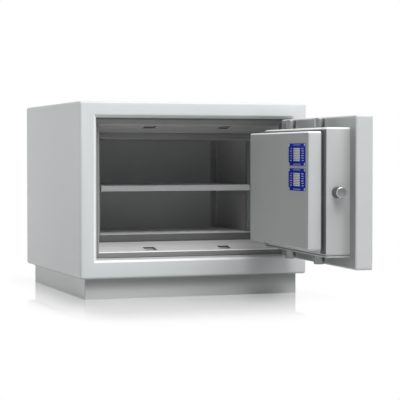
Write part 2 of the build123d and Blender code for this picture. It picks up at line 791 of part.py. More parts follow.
with BuildPart() as plate_rivets:
    for z in plates_z:
        with BuildSketch(leaf_plane(cover_end + plate_thick)):
            with Locations((plates_s, z)):
                with GridLocations(plate_width - 2 * rivet_inset, plate_height - 2 * rivet_inset, 2, 2):
                    Circle(rivet_diameter / 2)
        extrude(amount=rivet_height)
save(plate_rivets.part, "plate_rivets")

# Boltwork layers, from the leaf into the housing
latch_layer = plate_inner + plate_clearance
disc_layer = latch_layer + carrier_sheet + layer_gap
leg_layer = disc_layer + disc_thick + layer_gap
crank_radius = bolt_throw / (2 * sin(radians(handle_turn / 2)))
pin_side = crank_radius * cos(radians(handle_turn / 2))
pin_rise = crank_radius * sin(radians(handle_turn / 2))
slot_half = crank_pin / 2 + slot_play

# Turning disc: the top pin stands towards the hinge, the bottom pin towards the latch,
# and the latch bolt's pin stands on the disc's other face, above the spindle
with BuildPart() as drive_disc:
    rod(spindle_s, spindle_z, 2 * (crank_radius + crank_pin / 2 + disc_rim), disc_layer,
        disc_layer + disc_thick)
    block(spindle_s - spindle_square / 2, spindle_s + spindle_square / 2, disc_layer,
          disc_layer + disc_thick, spindle_z - spindle_square / 2, spindle_z + spindle_square / 2,
          Mode.SUBTRACT)
save(drive_disc.part, "drive_disc")

with BuildPart() as drive_pins:
    for side in (-1, 1):
        rod(spindle_s + side * pin_side, spindle_z - side * pin_rise, crank_pin, disc_layer + disc_thick,
            leg_layer + carrier_sheet + pin_end)
    rod(spindle_s + pin_rise, spindle_z + pin_side, crank_pin, latch_layer - pin_end, disc_layer)
save(drive_pins.part, "drive_pins")

# Spindle: round in its bush, square in the disc and in the handle's hub
square_front = -(rose_thick + hub_length - lever_thick)
with BuildPart() as handle_spindle:
    rod(spindle_s, spindle_z, spindle_round, -rose_thick / 2, disc_layer)
    block(spindle_s - spindle_square / 2, spindle_s + spindle_square / 2, square_front,
          disc_layer + disc_thick, spindle_z - spindle_square / 2, spindle_z + spindle_square / 2)
save(handle_spindle.part, "handle_spindle")

# Carriers: each has a slot across its travel for its drive pin, and a flange for its bolts
top_root = top_tip - bolt_length
bottom_root = bottom_tip + bolt_length
flange_t0 = bolt_depth - carrier_flange / 2
flange_t1 = bolt_depth + carrier_flange / 2
flange_margin = bolt_diameter / 2 + carrier_margin
leg_near = pin_side - slot_half - slot_land
leg_far = crank_radius + slot_half + slot_land
lock_bolt_z = lock_z + lock_bolt_rise


def leg_slot(side):
    """Level slot in a carrier's leg where its drive pin runs."""
    slot_z = spindle_z - side * pin_rise
    edges = sorted((spindle_s + side * (pin_side - slot_half), spindle_s + side * (crank_radius + slot_half)))
    block(edges[0], edges[1], leg_layer, leg_layer + carrier_sheet, slot_z - slot_half, slot_z + slot_half,
          Mode.SUBTRACT)


with BuildPart() as top_bolt_carrier:
    block(bolt_s[0] - flange_margin, bolt_s[1] + flange_margin, leg_layer, flange_t1,
          top_root - carrier_sheet, top_root)
    block(spindle_s - leg_far, spindle_s - leg_near, leg_layer, leg_layer + carrier_sheet,
          spindle_z + pin_rise - slot_half - slot_land, top_root)
    leg_slot(-1)
    for rise in (0, bolt_throw):
        block(spindle_s - leg_far, spindle_s - leg_far + lock_throw, leg_layer, leg_layer + carrier_sheet,
              lock_bolt_z - lock_bolt_height / 2 - notch_play + rise,
              lock_bolt_z + lock_bolt_height / 2 + notch_play + rise, Mode.SUBTRACT)
save(top_bolt_carrier.part, "top_bolt_carrier")

with BuildPart() as bottom_bolt_carrier:
    block(bolt_s[0] - flange_margin, max(bolt_s[1] + flange_margin, spindle_s + leg_far), leg_layer,
          flange_t1, bottom_root, bottom_root + carrier_sheet)
    block(spindle_s + leg_near, spindle_s + leg_far, leg_layer, leg_layer + carrier_sheet,
          bottom_root, spindle_z - pin_rise + slot_half + slot_land)
    leg_slot(1)
save(bottom_bolt_carrier.part, "bottom_bolt_carrier")

latch_tip = housing_s1 + bolt_reach
latch_root = latch_tip - bolt_length
latch_bar_z0 = spindle_z + pin_side - slot_half - slot_land
latch_bar_z1 = spindle_z + crank_radius + slot_half + slot_land
with BuildPart() as latch_bolt_carrier:
    block(spindle_s + pin_rise - slot_half - slot_land, latch_root, latch_layer,
          latch_layer + carrier_sheet, latch_bar_z0, latch_bar_z1)
    block(latch_root - carrier_sheet, latch_root, latch_layer, flange_t1,
          spindle_z - flange_margin, latch_bar_z1)
    block(spindle_s + pin_rise - slot_half, spindle_s + pin_rise + slot_half, latch_layer,
          latch_layer + carrier_sheet, spindle_z + pin_side - slot_half,
          spindle_z + crank_radius + slot_half, Mode.SUBTRACT)
save(latch_bolt_carrier.part, "latch_bolt_carrier")

# Bolts, each with a softened tip
for label, low, tip_face in (("top_bolts", top_root, -1), ("bottom_bolts", bottom_tip, 0)):
    with BuildPart() as bolts:
        for s in bolt_s:
            post(s, bolt_depth, bolt_diameter, low, low + bolt_length)
        tips = bolts.faces().filter_by(Axis.Z).group_by(Axis.Z)[tip_face]
        fillet(tips.edges(), bolt_end_round)
    save(bolts.part, label)

with BuildPart() as latch_bolt:
    with BuildSketch(latch_plane(latch_tip)):
        with Locations((bolt_depth, spindle_z)):
            Circle(bolt_diameter / 2)
    extrude(amount=bolt_length)
    fillet(latch_bolt.faces().sort_by(Axis(door_point(0, 0, 0), along))[-1].edges(), bolt_end_round)
save(latch_bolt.part, "latch_bolt")

# Screws through the flanges into the bolts' roots
screw_lows = {
    "top_bolt_screws": top_root - carrier_sheet - bolt_screw_height,
    "bottom_bolt_screws": bottom_root + carrier_sheet,
}
for label, low in screw_lows.items():
    with BuildPart() as bolt_screws:
        for s in bolt_s:
            post(s, bolt_depth, bolt_screw_head, low, low + bolt_screw_height)
    save(bolt_screws.part, label)

with BuildPart() as latch_bolt_screw:
    with BuildSketch(latch_plane(latch_root - carrier_sheet)):
        with Locations((bolt_depth, spindle_z)):
            Circle(bolt_screw_head / 2)
    extrude(amount=bolt_screw_height)
save(latch_bolt_screw.part, "latch_bolt_screw")

# Lock: a case on the boltwork plate and the bolt that holds the top carrier
lock_s1 = lock_s + lock_width / 2
lock_tip = spindle_s - leg_far - lock_gap
lock_layer = leg_layer + carrier_sheet / 2 - lock_bolt_thick / 2
with BuildPart() as lock_case:
    block(lock_s - lock_width / 2, lock_s1, plate_inner, plate_inner + lock_depth,
          lock_z - lock_height / 2, lock_z + lock_height / 2)
    block(lock_tip - lock_bolt_length - lock_fit, lock_s1, lock_layer - lock_fit,
          lock_layer + lock_bolt_thick + lock_fit, lock_bolt_z - lock_bolt_height / 2 - lock_fit,
          lock_bolt_z + lock_bolt_height / 2 + lock_fit, Mode.SUBTRACT)
    rod(lock_s, lock_z, keyhole_bore, plate_inner, plate_inner + lock_depth / 4, Mode.SUBTRACT)
save(lock_case.part, "lock_case")

with BuildPart() as lock_bolt:
    block(lock_tip - lock_bolt_length, lock_tip, lock_layer, lock_layer + lock_bolt_thick,
          lock_bolt_z - lock_bolt_height / 2, lock_bolt_z + lock_bolt_height / 2)
save(lock_bolt.part, "lock_bolt")

with BuildPart() as lock_screws:
    with BuildSketch(leaf_plane(plate_inner + lock_depth)):
        with Locations((lock_s, lock_z)):
            with GridLocations(lock_width - 2 * lock_screw_head, lock_height - 2 * lock_screw_head, 2, 2):
                Circle(lock_screw_head / 2)
    extrude(amount=lock_screw_height)
save(lock_screws.part, "lock_screws")

# Keyhole plate on the front with the cover that swings over it
pivot_z = lock_z + cover_pivot_rise
with BuildPart() as keyhole_plate:
    with BuildSketch(leaf_plane(-escutcheon_thick)):
        with Locations((lock_s, lock_z)):
            SlotOverall(escutcheon_height, escutcheon_width, rotation=90)
            Circle(keyhole_bore / 2, mode=Mode.SUBTRACT)
        with Locations((lock_s, lock_z - keyhole_drop / 2)):
            Rectangle(keyhole_slot, keyhole_drop, mode=Mode.SUBTRACT)
    extrude(amount=escutcheon_thick)
    fillet(keyhole_plate.faces().sort_by(door_axis)[0].outer_wire().edges(), escutcheon_thick / 3)
save(keyhole_plate.part, "keyhole_plate")

cover_back = -(escutcheon_thick + handle_gap)
cover_bore = cover_pivot_diameter + 2 * running_clearance
with BuildPart() as key_cover:
    with BuildSketch(leaf_plane(cover_back - cover_plate_thick)):
        with Locations((lock_s, pivot_z)):
            Circle(cover_pivot_diameter + cover_plate_thick)
        with Locations((lock_s, lock_z - keyhole_drop / 3)):
            Circle(escutcheon_width / 2 - cover_plate_thick)
        make_hull()
        with Locations((lock_s, pivot_z)):
            Circle(cover_bore / 2, mode=Mode.SUBTRACT)
    extrude(amount=cover_plate_thick)
save(key_cover.part, "key_cover")

with BuildPart() as cover_pivot:
    rod(lock_s, pivot_z, cover_pivot_diameter, cover_back - cover_plate_thick - handle_gap, -escutcheon_thick)
    rod(lock_s, pivot_z, cover_pivot_diameter + 2 * cover_plate_thick,
        cover_back - 2 * cover_plate_thick - handle_gap, cover_back - cover_plate_thick - handle_gap)
save(cover_pivot.part, "cover_pivot")

# Handle: rose on the leaf, hub on the spindle and a lever hanging down
rose_bore = spindle_round + 2 * handle_gap
with BuildPart() as handle_rose:
    rod(spindle_s, spindle_z, rose_diameter, -rose_thick, 0)
    rod(spindle_s, spindle_z, rose_bore, -rose_thick, 0, Mode.SUBTRACT)
    fillet(handle_rose.faces().sort_by(door_axis)[0].outer_wire().edges(), rose_thick / 2)
save(handle_rose.part, "handle_rose")

hub_back = -(rose_thick + handle_gap)
lever_front = hub_back - hub_length
with BuildPart() as handle:
    rod(spindle_s, spindle_z, hub_diameter, lever_front, hub_back)
    with BuildSketch(leaf_plane(lever_front)):
        with Locations((spindle_s, spindle_z)):
            Circle(hub_diameter / 2)
        with Locations((spindle_s, spindle_z - lever_length)):
            Circle(lever_width / 2)
        make_hull()
    extrude(amount=lever_thick)
    block(spindle_s - spindle_square / 2, spindle_s + spindle_square / 2, square_front, hub_back,
          spindle_z - spindle_square / 2, spindle_z + spindle_square / 2, Mode.SUBTRACT)
    fillet(handle.faces().sort_by(door_axis)[0].edges(), lever_thick / 4)
save(handle.part, "handle")
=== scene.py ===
import bmesh
import bpy
import json
import math
from bmesh.types import BMEdge, BMFace, BMVert
from mathutils import Matrix, Vector


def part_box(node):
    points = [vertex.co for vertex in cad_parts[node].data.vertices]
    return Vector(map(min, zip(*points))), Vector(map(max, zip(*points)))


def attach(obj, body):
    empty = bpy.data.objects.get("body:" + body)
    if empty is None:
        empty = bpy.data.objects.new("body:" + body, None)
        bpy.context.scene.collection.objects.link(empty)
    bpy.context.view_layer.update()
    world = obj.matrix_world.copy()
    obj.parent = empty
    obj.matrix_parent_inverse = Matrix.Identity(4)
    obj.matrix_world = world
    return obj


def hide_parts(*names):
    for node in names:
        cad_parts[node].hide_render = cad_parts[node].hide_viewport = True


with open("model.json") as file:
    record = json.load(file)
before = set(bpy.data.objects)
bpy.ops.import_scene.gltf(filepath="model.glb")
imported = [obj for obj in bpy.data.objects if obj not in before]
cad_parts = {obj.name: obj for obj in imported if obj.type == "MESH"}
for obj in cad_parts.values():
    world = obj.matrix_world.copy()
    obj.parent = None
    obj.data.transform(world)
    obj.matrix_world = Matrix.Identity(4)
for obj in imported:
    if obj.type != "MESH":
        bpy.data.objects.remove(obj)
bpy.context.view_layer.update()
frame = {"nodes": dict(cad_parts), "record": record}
nodes = frame["nodes"]
print("stage: frame loaded")


# Camera at the photograph's place, looking a little down
cameraSet = {"place": (-1.3226, -4.1374, 0.3894), "yaw": 19.26, "dip": 1.776, "lens": 133.94, "sensor": 36,
             "reach": 60}


def placeCamera(settings):
    data = bpy.data.cameras.new("studioCamera")
    data.lens = settings["lens"]
    data.sensor_width = settings["sensor"]
    data.clip_end = settings["reach"]
    camera = bpy.data.objects.new("studioCamera", data)
    bpy.context.scene.collection.objects.link(camera)
    yaw, dip = math.radians(settings["yaw"]), math.radians(settings["dip"])
    aim = Vector((math.sin(yaw) * math.cos(dip), math.cos(yaw) * math.cos(dip), -math.sin(dip)))
    camera.location = settings["place"]
    camera.rotation_mode = "QUATERNION"
    camera.rotation_quaternion = aim.to_track_quat("-Z", "Y")
    bpy.context.scene.camera = camera


placeCamera(cameraSet)
bpy.context.scene.view_settings.view_transform = "Standard"


# Places on the door are given as they are with the door closed, then turned open with it
doorSet = {"hinge": (0.2935, -0.3295, 0), "open": 86.6}
hingeSpot = Vector(doorSet["hinge"])
openTurn = (Matrix.Translation(hingeSpot) @ Matrix.Rotation(math.radians(doorSet["open"]), 4, "Z")
            @ Matrix.Translation(-hingeSpot))
shutTurn = openTurn.inverted()
inward = openTurn.to_3x3() @ Vector((0, 1, 0))  # from the open door's front towards its back


def shutBox(name):  # a door node's corners with the door closed
    spots = [shutTurn @ vertex.co for vertex in nodes[name].data.vertices]
    low = Vector(min(spot[axis] for spot in spots) for axis in range(3))
    high = Vector(max(spot[axis] for spot in spots) for axis in range(3))
    return low, high


def reachOf(name):  # how far inwards a node of the open door reaches
    return inward.dot(openTurn @ shutBox(name)[1])


def sizesOf(name, sheet=0):  # a body node's sizes in mm, inside its sheet
    low, high = (corner * 1000 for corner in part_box(name))
    spots = (high.x - sheet, low.z + sheet, high.z - sheet, low.y, high.y - sheet)
    return {key: round(spot, 2) for key, spot in zip(("half", "foot", "top", "front", "rear"), spots)}


def metres(settings, *keys):  # sizes that a piece's settings give in mm
    return [settings[key] / 1000 for key in keys]


def feed(tree, socket, value):  # a link from a reading, or a constant
    if isinstance(value, Reading):
        tree.links.new(value.socket, socket)
    else:
        socket.default_value = value


class Reading:  # a socket that takes part in sums
    def __init__(self, tree, socket):
        self.tree = tree
        self.socket = socket

    def joined(self, operation, first, second):
        step = self.tree.nodes.new("ShaderNodeMath")
        step.operation = operation
        feed(self.tree, step.inputs[0], first)
        feed(self.tree, step.inputs[1], second)
        return Reading(self.tree, step.outputs[0])

    def __add__(self, other):
        return self.joined("ADD", self, other)

    def __radd__(self, other):
        return self.joined("ADD", other, self)

    def __sub__(self, other):
        return self.joined("SUBTRACT", self, other)

    def __rsub__(self, other):
        return self.joined("SUBTRACT", other, self)

    def __mul__(self, other):
        return self.joined("MULTIPLY", self, other)

    def __rmul__(self, other):
        return self.joined("MULTIPLY", other, self)


class Finish:  # one material and its node tree
    def __init__(self, name):
        self.material = bpy.data.materials.new(name)
        self.material.use_nodes = True
        self.tree = self.material.node_tree
        self.shader = self.tree.nodes["Principled BSDF"]

    def add(self, kind, settings=None, values=None, output=0):
        made = self.tree.nodes.new(kind)
        for key, value in (settings or {}).items():
            setattr(made, key, value)
        for key, value in (values or {}).items():
            feed(self.tree, made.inputs[key], value)
        return Reading(self.tree, made.outputs[output])

    def blend(self, first, second, share):  # colours, or readings of colours
        return self.add("ShaderNodeMix", {"data_type": "RGBA"}, {0: share, 6: first, 7: second}, 2)

    def vector(self, operation, first, second=None, output="Vector"):
        values = {0: first} if second is None else {0: first, 1: second}
        return self.add("ShaderNodeVectorMath", {"operation": operation}, values, output)

    def ranged(self, value, low, high, atLow, atHigh, way="SMOOTHSTEP"):
        return self.add("ShaderNodeMapRange", {"interpolation_type": way},
                        {"Value": value, "From Min": low, "From Max": high, "To Min": atLow,
                         "To Max": atHigh})

    def place(self, scale=(1, 1, 1)):
        here = self.add("ShaderNodeTexCoord", output="Object")
        return self.add("ShaderNodeMapping", {}, {"Vector": here, "Scale": scale})

    def noise(self, where, scale, detail=2, rough=0.5):
        return self.add("ShaderNodeTexNoise", {},
                        {"Vector": where, "Scale": scale, "Detail": detail, "Roughness": rough})

    def put(self, socket, value):
        feed(self.tree, self.shader.inputs[socket], value)

    def relief(self, height, settings):
        self.put("Normal", self.add("ShaderNodeBump", {}, {"Height": height, "Strength": settings["relief"],
                                                           "Distance": settings["depth"]}))


def tint(colour, factor):
    return tuple(min(1, part * factor) for part in colour) + (1,)


# Fine-textured powder coat: noise scales, and the weights of its noises in tone, roughness and relief
paintSet = {"peel": 380, "grain": 1500, "cloud": 5, "tones": (0.965, 1.035), "cloudTone": 0.55,
            "grainTone": 0.45, "smooth": 0.05, "cloudRough": 0.06, "grainRough": 0.04, "peelRelief": 0.7,
            "grainRelief": 0.3, "relief": 0.16, "depth": 0.0004}


def dimmed(finish, where, dim):  # share of black on one face of a piece, as painted shade
    side = finish.vector("ABSOLUTE", where) if dim.get("both") else where  # both: the face opposite as well
    depth = finish.vector("DOT_PRODUCT", side, dim["way"], "Value")
    inside = finish.ranged(depth, dim["face"] - dim["edge"], dim["face"], 0, 1, "LINEAR")
    level = finish.vector("DOT_PRODUCT", where, dim.get("ramp", (0, 0, 1)), "Value")
    return inside * finish.ranged(level, dim["low"], dim["high"], dim["atLow"], dim["atHigh"])


def paintFinish(name, colour, rough, shine=0.3, dim=None):
    finish, spec = Finish(name), paintSet
    finish.put("Specular IOR Level", shine)
    where = finish.place()
    cloud = finish.noise(where, spec["cloud"], 3)
    grain = finish.noise(where, spec["grain"])
    peel = finish.noise(where, spec["peel"], 3)
    share = cloud * spec["cloudTone"] + grain * spec["grainTone"]
    base = finish.blend(*(tint(colour, tone) for tone in spec["tones"]), share)
    if dim:
        base = finish.blend(base, (0, 0, 0, 1), dimmed(finish, where, dim))
    finish.put("Base Color", base)
    finish.put("Roughness", rough - spec["smooth"] + cloud * spec["cloudRough"] + grain * spec["grainRough"])
    finish.relief(peel * spec["peelRelief"] + grain * spec["grainRelief"], spec)
    return finish.material


# Turned or drawn metal, lined one way
steelSet = {"lines": (60, 60, 2400), "cloud": 30, "tones": (0.86, 1.08), "smooth": 0.06, "lineRough": 0.1,
            "cloudRough": 0.05, "relief": 0.1, "depth": 0.0002}


def steelFinish(name, colour, rough, stretch=steelSet["lines"]):
    finish, spec = Finish(name), steelSet
    lines = finish.noise(finish.place(stretch), 1, 4, 0.6)
    cloud = finish.noise(finish.place(), spec["cloud"])
    finish.put("Base Color", finish.blend(*(tint(colour, tone) for tone in spec["tones"]), lines))
    finish.put("Metallic", 1)
    finish.put("Roughness", rough - spec["smooth"] + lines * spec["lineRough"] + cloud * spec["cloudRough"])
    finish.relief(lines, spec)
    return finish.material


# Cast mineral or fibre board with pores
boardSet = {"tones": (0.82, 1.06), "voids": 0.7, "rough": 0.85, "gritRough": 0.1, "gritRelief": 0.6,
            "voidRelief": 0.4, "relief": 0.35, "depth": 0.0008}


def boardFinish(name, colour, pores):
    finish, spec = Finish(name), boardSet
    where = finish.place()
    grit = finish.noise(where, pores, 5, 0.65)
    voids = finish.add("ShaderNodeTexVoronoi", {}, {"Vector": where, "Scale": pores * spec["voids"]})
    finish.put("Base Color", finish.blend(*(tint(colour, tone) for tone in spec["tones"]), grit))
    finish.put("Roughness", spec["rough"] + grit * spec["gritRough"])
    finish.relief(grit * spec["gritRelief"] + voids * spec["voidRelief"], spec)
    return finish.material


# Soft shade painted by place. It starts at a face, over an edge, and goes from atLow to atHigh along the ramp
dims = {
    "casing": {"way": (0, 0, -1), "face": -0.0575, "edge": 0.003, "low": 0, "high": 0.05, "atLow": 0,
               "atHigh": 0.32},
    "container": {"way": (1, 0, 0), "both": True, "face": 0.2275, "edge": 0.002, "ramp": (0, 1, 1),
                  "low": 0.15, "high": 0.52, "atLow": 0.56, "atHigh": 0.28},
    "cover": {"way": inward, "face": reachOf("inner_cover"), "edge": 0.002, "ramp": (0, 1, 0), "low": -0.86,
              "high": -0.50, "atLow": 0.30, "atHigh": 0},
    "rail": {"way": (0, 0, 1), "face": 0, "edge": 0.001, "ramp": (0, 1, 0), "low": -0.13, "high": 0.15,
             "atLow": 0.52, "atHigh": 0},
    "leaf": {"way": inward, "face": reachOf("door_leaf"), "edge": 0.001, "low": 0.40, "high": 0.478,
             "atLow": 0.46, "atHigh": 0.19},
    "plinth": {"way": (0, -1, 0), "face": 0.2931, "edge": 0.001, "low": 0.018, "high": 0.052, "atLow": 0,
               "atHigh": 0.5},
}

finishes = {  # by the record's material slots
    # painted shade by place: the casing's foot edge, the container's side walls, and the cover's inner face,
    # which darkens towards its latch end
    "casing_paint": paintFinish("casingPaint", (0.68, 0.71, 0.71), 0.42, dim=dims["casing"]),
    "plinth_paint": paintFinish("plinthPlain", (0.61, 0.62, 0.62), 0.46),
    "lining_paint": paintFinish("liningPaint", (0.54, 0.54, 0.54), 0.44),
    "container_paint": paintFinish("containerPaint", (0.79, 0.80, 0.79), 0.48, dim=dims["container"]),
    "shelf_paint": paintFinish("shelfPaint", (0.57, 0.57, 0.585), 0.44),
    "door_paint": paintFinish("doorPaint", (0.545, 0.56, 0.56), 0.42),
    "cover_paint": paintFinish("coverPaint", (0.60, 0.62, 0.62), 0.5, 0.1, dims["cover"]),
    "hinge_steel": paintFinish("hingePaint", (0.60, 0.62, 0.62), 0.40),
    "insulation": boardFinish("mineralBoard", (0.80, 0.78, 0.72), 260),
    "groove_dark": boardFinish("grooveBoard", (0.19, 0.195, 0.195), 420),
    "seal_grey": boardFinish("sealStrip", (0.16, 0.165, 0.165), 900),
    "bolt_steel": steelFinish("boltSteel", (0.205, 0.213, 0.213), 0.30),
    "latch_chrome": steelFinish("latchChrome", (0.185, 0.185, 0.19), 0.42),
    "zinc_steel": steelFinish("zincSteel", (0.40, 0.405, 0.41), 0.38, (90, 90, 90)),
    "handle_chrome": steelFinish("handleChrome", (0.50, 0.50, 0.51), 0.22),
    "bush_brass": steelFinish("bushBrass", (0.70, 0.52, 0.24), 0.34),
    "plate_blue": paintFinish("plateBlue", (0.002, 0.016, 0.34), 0.42, 0.05),
    "plate_pale": paintFinish("platePale", (0.72, 0.74, 0.78), 0.36),
}

tones = {  # finishes of single faces and of the scene's pieces
    # painted shade: darker greys for the liner's risers, its lower riser, its top riser and the taper's top,
    # faces that lie in shade
    "riserShade": paintFinish("riserShadePaint", (0.24, 0.24, 0.24), 0.5),
    "seam": paintFinish("seamShadow", (0.24, 0.24, 0.24), 0.7),
    # painted highlight: a light grey for rounded edges that catch the light
    "paintedHighlight": paintFinish("highlightPaint", (0.90, 0.92, 0.92), 0.42),
    "footRiserShade": paintFinish("footRiserShadePaint", (0.13, 0.13, 0.13), 0.55),
    "topRiserShade": paintFinish("topRiserShadePaint", (0.34, 0.34, 0.34), 0.5),
    "taperTopShade": paintFinish("taperTopShadePaint", (0.44, 0.44, 0.44), 0.44),
    # painted shade: a darker copy of the lining grey for the bolt pockets, which lie in shade
    "pocketShade": paintFinish("pocketShadePaint", (0.46, 0.46, 0.46), 0.6),
    # painted shade by place: the rails darken towards the front, the leaf's inner face towards its foot, the
    # plinth's front towards its top
    "rail": paintFinish("railPaint", (0.54, 0.54, 0.535), 0.5, dim=dims["rail"]),
    "leaf": paintFinish("leafPaint", (0.62, 0.64, 0.64), 0.42, dim=dims["leaf"]),
    "plinth": paintFinish("plinthPaint", (0.61, 0.62, 0.62), 0.46, dim=dims["plinth"]),
    "ink": paintFinish("plateInk", (0.66, 0.80, 0.98), 0.4),
    "fieldBack": paintFinish("fieldBack", (0.16, 0.17, 0.24), 0.5),
    # painted shadow: a dark strip on the housing's ledge, where the cover shades it
    "shadeStrip": boardFinish("ledgeShadeStrip", (0.12, 0.125, 0.13), 700),
    # polished chamfer steel, lighter in part as a painted highlight on the latch bolt's rim
    "polished": steelFinish("polishedHighlightChamfer", (0.52, 0.52, 0.53), 0.26),
}

toneOfNode = {"bolt_pockets": "pocketShade", "latch_pocket": "pocketShade", "door_leaf": "leaf", "plinth": "plinth",
              "shelf_rails": "rail"}
easeOfNode = {"plinth": 0.8, "shelf_clips": 0.25, "shelf_rails": 0.25, "keyhole_plate": 0.5, "lock_case": 0.5,
              "boltwork_plate": 0.3, "hinge_washers": 0.2, "bolt_bushes": 0.3}  # widths of broken edges, mm
slotOfNode = {row["node"]: row["material_slot"] for row in frame["record"]["subparts"]}
for name, part in nodes.items():
    if not part.data.materials:
        part.data.materials.append(None)
    for place in part.material_slots:
        place.material = tones[toneOfNode[name]] if name in toneOfNode else finishes[slotOfNode[name]]
for name, width in easeOfNode.items():
    ease = nodes[name].modifiers.new("ease", "BEVEL")
    ease.width = width / 1000
    ease.segments = 2
    ease.limit_method = "ANGLE"
print("stage: finishes")


hair = 1e-6  # nearer than this, in m, is the same place


def only(kind, items):
    return [item for item in items if isinstance(item, kind)]


def runOf(edge):  # from one end of an edge to the other
    return edge.verts[0].co - edge.verts[1].co


def edgesAlongY(bm):  # to within about 25 degrees
    return [edge for edge in bm.edges if abs(runOf(edge).normalized().y) > 0.9]


def boxForm(low, high):
    bm = bmesh.new()
    low, high = Vector(low), Vector(high)
    scale = Matrix.Diagonal((*(high - low), 1))
    bmesh.ops.create_cube(bm, size=1, matrix=Matrix.Translation((low + high) / 2) @ scale)
    return bm


def turnedForm(profile, steps=56):  # profile of radius and height in mm, turned about Z
    bm = bmesh.new()
    points = [bm.verts.new((radius / 1000, 0, height / 1000)) for radius, height in profile]
    edges = [bm.edges.new(pair) for pair in zip(points, points[1:])]
    bmesh.ops.spin(bm, geom=points + edges, cent=(0, 0, 0), axis=(0, 0, 1), angle=math.tau, steps=steps,
                   use_merge=True)
    bmesh.ops.remove_doubles(bm, verts=bm.verts, dist=hair)
    bmesh.ops.recalc_face_normals(bm, faces=bm.faces)
    return bm


def stood(bm, spot, towards=(0, 0, 1)):  # local Z turned towards a direction, then placed
    turn = Vector(towards).to_track_quat("Z", "Y").to_matrix().to_4x4()
    bmesh.ops.transform(bm, matrix=Matrix.Translation(Vector(spot)) @ turn, verts=bm.verts)
    return bm


def bevelled(bm, edges, width, steps):  # width in mm
    bmesh.ops.bevel(bm, geom=list(edges), offset=width / 1000, offset_type="OFFSET", segments=steps,
                    profile=0.5, affect="EDGES", material=-1)
    return bm


def thickened(bm, offset):  # flat faces made a block, then turned right side out
    grown = bmesh.ops.extrude_face_region(bm, geom=list(bm.faces))["geom"]
    bmesh.ops.translate(bm, vec=(0, offset, 0), verts=only(BMVert, grown))
    bmesh.ops.recalc_face_normals(bm, faces=bm.faces)
    return bm


def gathered(forms):  # several forms made one mesh
    whole = bmesh.new()
    for form in forms:
        scratch = bpy.data.meshes.new("scratch")
        form.to_mesh(scratch)
        form.free()
        whole.from_mesh(scratch)
        bpy.data.meshes.remove(scratch)
    return whole


def finished(name, bm, slot, body, stands=(), finish=None, sharp=32, onDoor=False, sorts=()):
    if onDoor:
        bmesh.ops.transform(bm, matrix=openTurn, verts=bm.verts)
    for face in bm.faces:
        face.smooth = True
    for edge in bm.edges:
        edge.smooth = edge.calc_face_angle(math.pi) < math.radians(sharp)
    mesh = bpy.data.meshes.new(name)
    bm.to_mesh(mesh)
    bm.free()
    for each in (finish or finishes[slot], *sorts):
        mesh.materials.append(each)
    piece = bpy.data.objects.new(name, mesh)
    bpy.context.scene.collection.objects.link(piece)
    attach(piece, body)
    if stands:
        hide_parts(*stands)
    return piece


# Casing skin, lining, container and back panel: sleeves grown ring by ring, sized in mm after the CAD
bodySet = {"edge": 7, "mouthEdge": 7, "footEdge": 4.5, "mouthDepth": 9, "mouthRound": 2.2, "tilt": 0.2,
           "sheet": 1.5, "rearFlange": 16, "rearDrop": 4, "rearRound": 0.7, "liningSheet": 2,
           "roomSheet": 1.5}
backSet = {"seam": 0.9, "face": 318.4, "thick": 1.5, "round": 2.5, "pressIn": 42, "press": 0.9, "slope": 3,
           "pressRound": 0.8, "screwIn": 14, "columns": 4, "rows": 3,
           "screw": [(0, -1), (4.2, -1), (4.2, 0.3), (3.7, 0.9), (2.8, 1.35), (1.7, 1.45), (1.6, 0.5),
                     (0, 0.45)]}
linerSet = {"recess": 47, "rise": 3, "gap": 5, "gapDepth": 1.2, "step": 19, "taper": 152, "taperInset": 39.5,
            "lip": 3, "lipDepth": 1.2, "lipRound": 2.0, "tuck": 4, "pocketHalf": 15.5, "pocketAt": 108,
            "pocketY": -245, "fold": 3, "upper": 100, "roundTilt": 0.22, "highlightNear": 3, "roomNear": 2,
            "sillNear": 1}
casing = sizesOf("outer_casing")
mouth = sizesOf("rebate_lining", bodySet["liningSheet"])
room = {**sizesOf("inner_container", bodySet["roomSheet"]), "front": casing["front"] + linerSet["taper"],
        "round": 3}


def sleeveForm(rings, tags=()):  # rings: half width, foot, top and depth in mm
    bm = bmesh.new()
    tagLayer = bm.faces.layers.int.new("tag")
    half, foot, top, y = rings[0]
    middle = (foot + top) / 2000
    corners = [bm.verts.new((x / 1000, y / 1000, z / 1000)) for x, z in
               ((-half, foot), (half, foot), (half, top), (-half, top))]
    edges = [bm.edges.new((corners[place - 1], corners[place])) for place in range(4)]
    for step, (half, foot, top, y) in enumerate(rings[1:]):
        grown = bmesh.ops.extrude_edge_only(bm, edges=edges)["geom"]
        edges = [edge for edge in only(BMEdge, grown) if all(vertex in grown for vertex in edge.verts)]
        for vertex in only(BMVert, grown):
            vertex.co = (math.copysign(half, vertex.co.x) / 1000, y / 1000,
                         (top if vertex.co.z > middle else foot) / 1000)
        for face in only(BMFace, grown):
            face[tagLayer] = step
            face.material_index = tags[step] if tags else 0
    return bm


def ringEdges(bm, *rings):  # the edges of a sleeve's rings, cut or whole
    def lies(spot, ring):
        half, foot, top, y = (part / 1000 for part in ring)
        level = min(abs(spot.z - foot), abs(spot.z - top)) < hair
        return abs(spot.y - y) < hair and (level or abs(abs(spot.x) - half) < hair)

    return [edge for ring in rings for edge in bm.edges
            if all(lies(vertex.co, ring) for vertex in edge.verts)]


